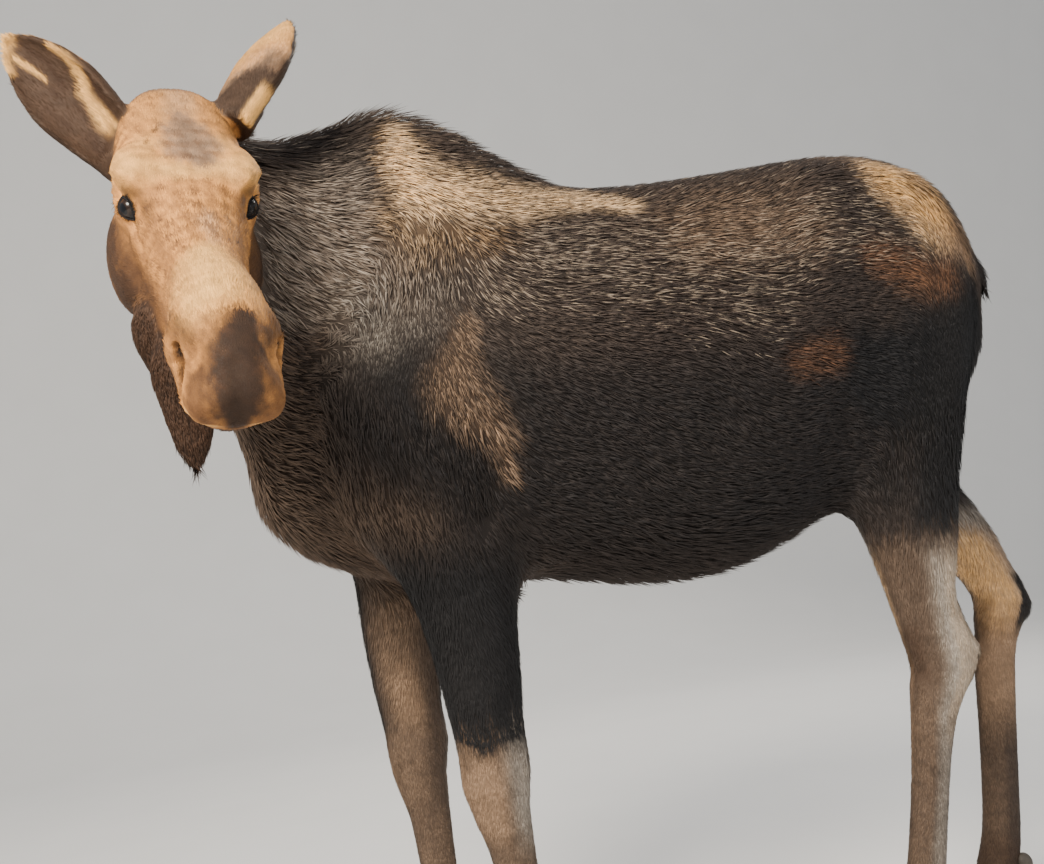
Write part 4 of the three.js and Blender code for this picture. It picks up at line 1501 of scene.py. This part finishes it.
def hair_sizes(places, parts):
    """Length, width and lift of the hair at places: millimetres and degrees."""
    share = shares_of(parts)
    x, _, z = places.T
    seen = places[:, [0, 2]]
    local = to_head(places)
    mane = stroke(seen, MANE, 0.6)
    belly = ease(z, 980, 860) * ease(x, -330, -200)
    chest = stroke(seen, CHEST, 0.6)
    crown = ease(local[:, 0], 130, 20)
    muzzle = ease(local[:, 0], 430, 560)
    cheek = ease(local[:, 2], -120, -220)
    legs = sum(share[name] for name in LEGS)
    ears = share["ear_left"] + share["ear_right"]
    tall = ease(z, 480, 1000)
    length = share["trunk"] * (35 + 24 * mane + 20 * belly + 12 * chest)
    length += share["neck"] * (44 + 18 * mane + 10 * chest)
    length += legs * (12 + 19 * tall + 8 * ease(z, 950, 1200))
    length += share["head"] * (8 + 6 * crown - 3 * muzzle + 6 * cheek)
    length += ears * 12 + share["bell"] * 44 + share["tail"] * 32
    lift = share["trunk"] * (12 + 7 * mane + 5 * belly) + share["neck"] * (13 + 5 * mane)
    lift += legs * (8 + 4 * tall) + share["head"] * 3.2 + ears * 5
    lift += share["bell"] * 9 + share["tail"] * 6
    jaw = jaw_share(places) * (1 - share["trunk"])
    length += (15 - length) * jaw
    lift += (5 - lift) * jaw
    width = np.clip(0.95 + 0.055 * length, 1.1, 3.6)
    width = width - 1.1 * (share["bell"] * (1 - jaw) + 0.8 * mane)
    width *= 1 + 0.35 * share["head"] - 0.14 * (share["trunk"] + share["neck"])
    return length, width, lift


def coat_regions(coat):
    """Which triangles of the skin each coat piece grows on."""
    label = coat.share.argmax(axis=1)
    x, y, _ = coat.middles.T
    left = y < ORIGIN_SHIFT[1]
    on = {name: label == k for k, name in enumerate(PARTS)}
    lengths = {"shoulder": x < -170, "barrel": (x >= -170) & (x < 290), "rump": x >= 290}
    for name, stretch in lengths.items():
        yield f"coat_{name}_left", on["trunk"] & stretch & left, 1.8
        yield f"coat_{name}_right", on["trunk"] & stretch & ~left, 1.8
    turned = to_head(coat.middles)[:, 1] > 0
    yield "coat_neck_left", on["neck"] & left, 1.9
    yield "coat_neck_right", on["neck"] & ~left, 1.9
    yield "coat_head_left", on["head"] & turned, 1.0
    yield "coat_head_right", on["head"] & ~turned, 1.0
    for name in LEGS:
        yield "coat_" + name, on[name], 1.3
    for name in ("ear_left", "ear_right", "bell", "tail"):
        yield "coat_" + name, on[name], 1.7


def build_coat(flesh):
    coat = Coat(flesh)
    length, width, _ = hair_sizes(coat.middles, coat.share)
    cover = 1 / (0.5 * length * width * 1e-6)
    furred = away_from_bare_skin(coat.middles)
    for name, where, overlap in coat_regions(coat):
        short = "head" in name or "leg" in name or "ear" in name
        yield coat_piece(name, coat, where * furred * cover * overlap, STRAIGHT if short else BENT)


def away_from_bare_skin(places):
    """0 in the nostrils, between the lids and along the lips, where no hair grows."""
    bare = np.zeros(len(places))
    local = to_head(places)
    for side in (1, -1):
        far, across, upward, front = round_eye(places, side)
        near = (far < EYE_RADIUS + 10) * (front > 0)
        bare = np.maximum(bare, near * (lid_opening(across, upward) < 1.3))
        bare = np.maximum(bare, stroke(local, to_side(NOSTRIL, side, 1), 0.2))
    return 1 - bare


# ---- eyes, lashes and hooves ----


LASHES = 150


def eye_material():
    """A dark wet eye: brown iris, a wide black pupil and a darker rim."""
    shader = Shader("moose_eye")
    off = shader.attribute("off_axis")
    fibres = shader.noise(900.0, 2.0)
    iris = shader.mix((0.008, 0.004, 0.002), (0.022, 0.009, 0.004), fibres)
    colour = shader.mix(iris, (0.006, 0.005, 0.005), shader.ease(off, 0.62, 0.74))
    pupil = shader.ease(shader.attribute("off_pupil"), 1.05, 0.92)
    colour = shader.mix(colour, (0.002, 0.002, 0.003), pupil)
    wet = {"Coat_Weight": 0.45, "Coat_Roughness": 0.02}
    return shader.finish(Base_Color=colour, Roughness=0.3, Specular_IOR_Level=0.2, **wet)


def build_eye(name, side):
    """An eyeball with its cornea standing a little proud."""
    at, look, corner, up = eye_frame(side)
    bm = bmesh.new()
    bmesh.ops.create_uvsphere(bm, u_segments=64, v_segments=48, radius=EYE_RADIUS)
    turned = unit([v.co for v in bm.verts])
    cornea = 1.3 * ease(turned[:, 2], 0.72, 0.95)
    axes = np.array([corner, up, look])
    for vert, way, bulge in zip(bm.verts, turned, cornea):
        vert.co = (way * (EYE_RADIUS + bulge) @ axes + at) * MM
    bmesh.ops.recalc_face_normals(bm, faces=bm.faces[:])
    piece = object_of(name + "_ball", bm)
    piece.data.shade_smooth()
    off_axis = np.arccos(np.clip(turned[:, 2], -1, 1))
    off_pupil = np.hypot(turned[:, 0] / 0.42, turned[:, 1] / 0.26) + 9 * (turned[:, 2] < 0)
    put_marks(piece.data, {"off_axis": off_axis, "off_pupil": off_pupil})
    piece.data.materials.append(bpy.data.materials["moose_eye"])
    return piece


def build_lashes(name, side):
    """Black lashes along the upper lid, and shorter ones along the lower."""
    at, look, corner, up = eye_frame(side)
    rng = np.random.default_rng(SEED)
    count = LASHES
    across = rng.uniform(-0.86, 0.86, count) * LID_WIDTH
    upper = rng.random(count) < 0.75
    limit = (1 - (np.abs(across) / LID_WIDTH) ** 1.7) ** (1 / 1.7)
    upward = np.where(upper, LID_HEIGHT, -LID_HEIGHT * 0.8) * limit * 1.06
    way = np.cos(across)[:, None] * np.cos(upward)[:, None] * look
    way = way + np.sin(across)[:, None] * corner + np.sin(upward)[:, None] * up
    way = unit(way)
    lifted = np.where(upper, 0.75, -0.5)[:, None] * up
    run = unit(look * 0.9 + lifted + (across * 0.5)[:, None] * corner)
    normal = unit(np.cross(run, corner) * np.where(upper, 1, -1)[:, None])
    parts = np.tile(np.eye(len(PARTS))[PARTS.index("head")], (count, 1))
    unwrap = np.column_stack([0.5 + across * 0.3, 0.5 + upward * 0.3])
    roots = {
        "place": at + way * (EYE_RADIUS + 1.5),
        "normal": normal,
        "run": run,
        "parts": parts,
        "unwrap": unwrap,
    }
    length = np.where(upper, rng.uniform(11, 17, count), rng.uniform(4, 7, count))
    width, lift = np.full(count, 0.7), np.full(count, 0.3)
    mesh = tuft_mesh(name, roots, length, width, lift, -0.6, BENT, rng)
    colour = (0.006, 0.005, 0.005)
    mesh.materials.append(Shader(name).finish(Base_Color=colour, Roughness=0.5))
    return placed(name, mesh)


def horn_material():
    """Dark hoof horn with growth rings and dry streaks."""
    shader = Shader("moose_horn")
    height = shader.node("SeparateXYZ", {}, {0: shader.place()}).outputs[2]
    grain = shader.noise(60.0, 3.0, stretch=(1, 1, 0.15))
    rings = shader.node("TexNoise", {}, {"Vector": shader.place(), "Scale": 12.0}).outputs["Fac"]
    wave = Value(shader, height) * 1300.0 + Value(shader, rings) * 9.0
    ridge = wave.sum("SINE", wave)
    colour = shader.mix((0.018, 0.014, 0.011), (0.075, 0.058, 0.043), grain)
    worn = shader.ease(Value(shader, height) + grain * 0.012, 0.022, 0.006)
    colour = shader.mix(colour, (0.13, 0.105, 0.08), worn * 0.6)
    normal = shader.bump(ridge * 0.25 + grain, 0.0008, 0.5)
    return shader.finish(Base_Color=colour, Roughness=0.48 + grain * 0.25, Normal=normal)


def claw(x, y, inward):
    """One claw: high at the heel, sloping to a blunt point at the toe, flat below."""
    rows = [
        (CORONET_HEIGHT - 1, 0.34, 0.28, 0.40),
        (CORONET_HEIGHT * 0.8, 0.42, 0.32, 0.45),
        (CORONET_HEIGHT * 0.6, 0.49, 0.34, 0.47),
        (CORONET_HEIGHT * 0.22, 0.62, 0.35, 0.5),
        (4, 0.645, 0.345, 0.49),
        (1.2, 0.655, 0.34, 0.48),
        (0, 0.64, 0.33, 0.46),
    ]
    stations = []
    for z, front, back, half in rows:
        front, back, half = front * HOOF_LENGTH, back * HOOF_LENGTH, half * HOOF_WIDTH
        at = (x + (back - front) / 2, y + inward * (HOOF_WIDTH / 2 - half), z)
        stations.append((at, ((front + back) / 2, (front + back) / 2, half), (1.7, 2.6)))
    return loft(stations, upward=(-1, 0, 0), around=36, steps=2, facing=(0, 0, -1))[0]


def dewclaw(x, y, z):
    bm, _ = ball((0, 0, 0), DEWCLAW)
    turn = Matrix.Rotation(-0.5, 4, "Y")
    home = Matrix.Translation(Vector(ORIGIN_SHIFT) * MM)
    place = Matrix.Translation((Vector((x, y, z)) + Vector(ORIGIN_SHIFT)) * MM)
    bmesh.ops.transform(bm, matrix=place @ turn @ home.inverted(), verts=bm.verts[:])
    return bm


def build_hooves(leg):
    side, foot, _ = LEGS[leg]
    y = foot_y(leg, side)
    behind, apart, high = DEWCLAW_PLACE
    whole = bmesh.new()
    replaced = []
    for which, out in (("inner", -side), ("outer", side)):
        claw_y = y + out * (HOOF_WIDTH + CLEFT) / 2
        pour(claw(foot + HOOF_OFFSET, claw_y, -out), whole)
        pour(dewclaw(foot + behind, y + out * apart, high), whole)
        replaced += [leg.replace("leg", kind) + "_" + which for kind in ("hoof", "dewclaw")]
    piece = object_of("hooves_" + leg, whole)
    piece.data.shade_smooth()
    piece.data.materials.append(bpy.data.materials["moose_horn"])
    return piece, replaced


# ---- the stage ----

CAMERA_PLACE = (-0.7176, -2.0533, 0.9659)
CAMERA_YAW, CAMERA_PITCH, CAMERA_ROLL = 14.0, 3.984, 7.24
CAMERA_LENS = 41.379
# Lights: name, place, size, power and colour, all turned to one spot.
LIT_SPOT = (-0.2, 0.0, 1.1)
LIGHTS = [
    ("key", (-3.2, -3.8, 4.2), 2.6, 760, (1.0, 0.92, 0.80)),
    ("fill", (3.4, -4.2, 2.4), 3.0, 80, (0.92, 0.96, 1.0)),
    ("rim", (2.2, 3.0, 3.8), 2.0, 160, (1.0, 0.95, 0.88)),
]


def build_camera():
    yaw, pitch, roll = (math.radians(a) for a in (CAMERA_YAW, CAMERA_PITCH, CAMERA_ROLL))
    flat = math.cos(pitch)
    ahead = Vector((math.sin(yaw) * flat, math.cos(yaw) * flat, math.sin(pitch)))
    level = Vector((math.cos(yaw), -math.sin(yaw), 0))
    over = level.cross(ahead)
    right = level * math.cos(roll) - over * math.sin(roll)
    up = level * math.sin(roll) + over * math.cos(roll)
    data = bpy.data.cameras.new("camera")
    data.sensor_width = 36.0
    data.lens = CAMERA_LENS
    data.clip_start = 0.05
    camera = placed("camera", data)
    turn = Matrix((right, up, -ahead)).transposed().to_4x4()
    camera.matrix_world = Matrix.Translation(CAMERA_PLACE) @ turn
    bpy.context.scene.camera = camera


def build_floor():
    """A pale floor that sweeps up into a backdrop."""
    bm = bmesh.new()
    turns = np.linspace(0.1, math.pi / 2, 14)
    sweep = [(4 + 3 * math.sin(a), 3 - 3 * math.cos(a)) for a in turns]
    profile = [bm.verts.new((-9, y, z)) for y, z in [(-7, 0), (4, 0), *sweep, (7, 9)]]
    for near, far in zip(profile, profile[1:]):
        bm.edges.new((near, far))
    made = bmesh.ops.extrude_edge_only(bm, edges=bm.edges[:])
    far = [g for g in made["geom"] if isinstance(g, bmesh.types.BMVert)]
    bmesh.ops.translate(bm, verts=far, vec=(18, 0, 0))
    bmesh.ops.recalc_face_normals(bm, faces=bm.faces[:])
    floor = object_of("floor", bm)
    floor.data.shade_smooth()
    shader = Shader("floor")
    soft = shader.noise(3.0, 2.0)
    colour = shader.mix((0.66, 0.65, 0.635), (0.70, 0.69, 0.675), soft)
    material = shader.finish(Base_Color=colour, Roughness=0.9, Specular_IOR_Level=0.2)
    floor.data.materials.append(material)


def build_light(name, place, size, power, colour):
    """A round area light that looks at the animal's middle."""
    data = bpy.data.lights.new(name, "AREA")
    data.shape = "DISK"
    data.size = size
    data.energy = power
    data.color = colour
    light = placed(name, data)
    light.location = place
    way = Vector(LIT_SPOT) - Vector(place)
    light.rotation_euler = way.to_track_quat("-Z", "Y").to_euler()


def build_world():
    world = bpy.data.worlds.new("studio")
    world.use_nodes = True
    inputs = world.node_tree.nodes["Background"].inputs
    inputs["Color"].default_value = (0.86, 0.92, 1.0, 1)
    inputs["Strength"].default_value = 0.5
    bpy.context.scene.world = world


# ---- the add-on ----

def colour_property(name, description, default):
    return FloatVectorProperty(
        name=name, description=description, default=default, size=3, min=0, max=1, subtype="COLOR"
    )


class MooseColours(bpy.types.PropertyGroup):
    """The colours of her markings."""

    dark: colour_property("Dark coat", "Ground colour of the flank", (0.034, 0.025, 0.021))
    brown: colour_property("Brown", "Lighter brown of the back and neck", (0.120, 0.080, 0.055))
    grey: colour_property("Grey", "Silver grey behind the neck and on the hocks", (0.54, 0.47, 0.39))
    # Rust is also the colour of the painted shade along the side of the nose bridge.
    tan: colour_property("Tan", "Tan of the rump, knees and elbow streak", (0.34, 0.215, 0.13))
    rust: colour_property("Rust", "Reddish patches", (0.19, 0.085, 0.040))
    black: colour_property("Black", "Haunch, belly and forearms", (0.013, 0.012, 0.0125))
    cream: colour_property("Cream", "Saddle, brow and bridge of the nose", (1.0, 0.54, 0.16))
    buff: colour_property("Buff", "Ground colour of the face", (0.74, 0.325, 0.085))
    # Dusk is the dark of the nose, the jaw and other dark hair, and is also the colour of the painted
    # shade in the face's hollows, under the upper lip and on the cheeks.
    dusk: colour_property("Dusk", "Dark end of the nose and jaw", (0.045, 0.023, 0.013))
    fleck: colour_property("Flecks", "Pale tips of the hairs on the flank", (0.42, 0.33, 0.24))


class MooseCoat(bpy.types.PropertyGroup):
    """How thick the coat is."""

    density: FloatProperty(
        name="Density",
        description="Share of the full coat",
        default=1.0,
        min=0.05,
        max=1.2,
        subtype="FACTOR",
    )


# The last skin that was built, which the coat grows on.
FLESH = {}


def dressed(piece):
    """Puts a piece on her one body."""
    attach(piece, "root")
    return piece


class MOOSE_OT_skin(bpy.types.Operator):
    """One skin over all her flesh, with its markings"""

    bl_idname = "moose.skin"
    bl_label = "Skin"

    def execute(self, context):
        body, flesh = build_skin()
        unwrap(body)
        marks = markings(flesh.parts, flesh.places)
        put_marks(body.data, marks | {"short": calm_hair(flesh.parts, flesh.places)})
        body.data.materials.clear()
        body.data.materials.append(skin_material(context.scene.moose_colours))
        body.data.shade_smooth()
        dressed(body)
        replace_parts(body, *PARTS)
        FLESH["now"] = flesh
        return {"FINISHED"}


def unwrap(body):
    """Lays the skin out flat, where each tuft then finds its patch."""
    bpy.context.view_layer.objects.active = body
    body.select_set(True)
    bpy.ops.object.mode_set(mode="EDIT")
    bpy.ops.mesh.select_all(action="SELECT")
    bpy.ops.uv.smart_project(angle_limit=1.2, island_margin=0.001)
    bpy.ops.object.mode_set(mode="OBJECT")
    body.select_set(False)
    body.data.uv_layers[0].name = "OFBake"


class MOOSE_OT_coat(bpy.types.Operator):
    """Tufts of hair over the whole skin"""

    bl_idname = "moose.coat"
    bl_label = "Coat"

    def execute(self, context):
        coat_material(context.scene.moose_colours)
        for piece in build_coat(FLESH["now"]):
            dressed(piece)
        return {"FINISHED"}


class MOOSE_OT_eyes(bpy.types.Operator):
    """Eyeballs and lashes"""

    bl_idname = "moose.eyes"
    bl_label = "Eyes"

    def execute(self, context):
        eye_material()
        for name, side in (("eye_left", 1), ("eye_right", -1)):
            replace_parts(dressed(build_eye(name, side)), name)
            dressed(build_lashes(name.replace("eye", "lashes"), side))
        return {"FINISHED"}


class MOOSE_OT_hooves(bpy.types.Operator):
    """Claws and dewclaws of all four feet"""

    bl_idname = "moose.hooves"
    bl_label = "Hooves"

    def execute(self, context):
        horn_material()
        for leg in LEGS:
            piece, replaced = build_hooves(leg)
            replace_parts(dressed(piece), *replaced)
        return {"FINISHED"}


class MOOSE_OT_stage(bpy.types.Operator):
    """Floor, lights and camera"""

    bl_idname = "moose.stage"
    bl_label = "Stage"

    def execute(self, context):
        build_floor()
        build_world()
        for row in LIGHTS:
            build_light(*row)
        build_camera()
        return {"FINISHED"}


class MOOSE_PT_panel(bpy.types.Panel):
    """Builds the moose piece by piece"""

    bl_label = "Moose"
    bl_idname = "MOOSE_PT_panel"
    bl_space_type = "VIEW_3D"
    bl_region_type = "UI"
    bl_category = "Moose"

    def draw(self, context):
        for made in OPERATORS:
            self.layout.operator(made.bl_idname)
        self.layout.prop(context.scene.moose_coat, "density")
        for name in ("dark", *MARKS):
            self.layout.prop(context.scene.moose_colours, name)


GROUPS = (MooseColours, MooseCoat)
OPERATORS = (MOOSE_OT_skin, MOOSE_OT_coat, MOOSE_OT_eyes, MOOSE_OT_hooves, MOOSE_OT_stage)


def register():
    for made in (*GROUPS, *OPERATORS, MOOSE_PT_panel):
        bpy.utils.register_class(made)
    bpy.types.Scene.moose_colours = PointerProperty(type=MooseColours)
    bpy.types.Scene.moose_coat = PointerProperty(type=MooseCoat)


def unregister():
    del bpy.types.Scene.moose_coat
    del bpy.types.Scene.moose_colours
    for made in reversed((*GROUPS, *OPERATORS, MOOSE_PT_panel)):
        bpy.utils.unregister_class(made)


def main():
    register()
    bpy.ops.moose.skin()
    bpy.ops.moose.coat()
    bpy.ops.moose.eyes()
    bpy.ops.moose.hooves()
    bpy.ops.moose.stage()


if __name__ == "__main__":
    main()
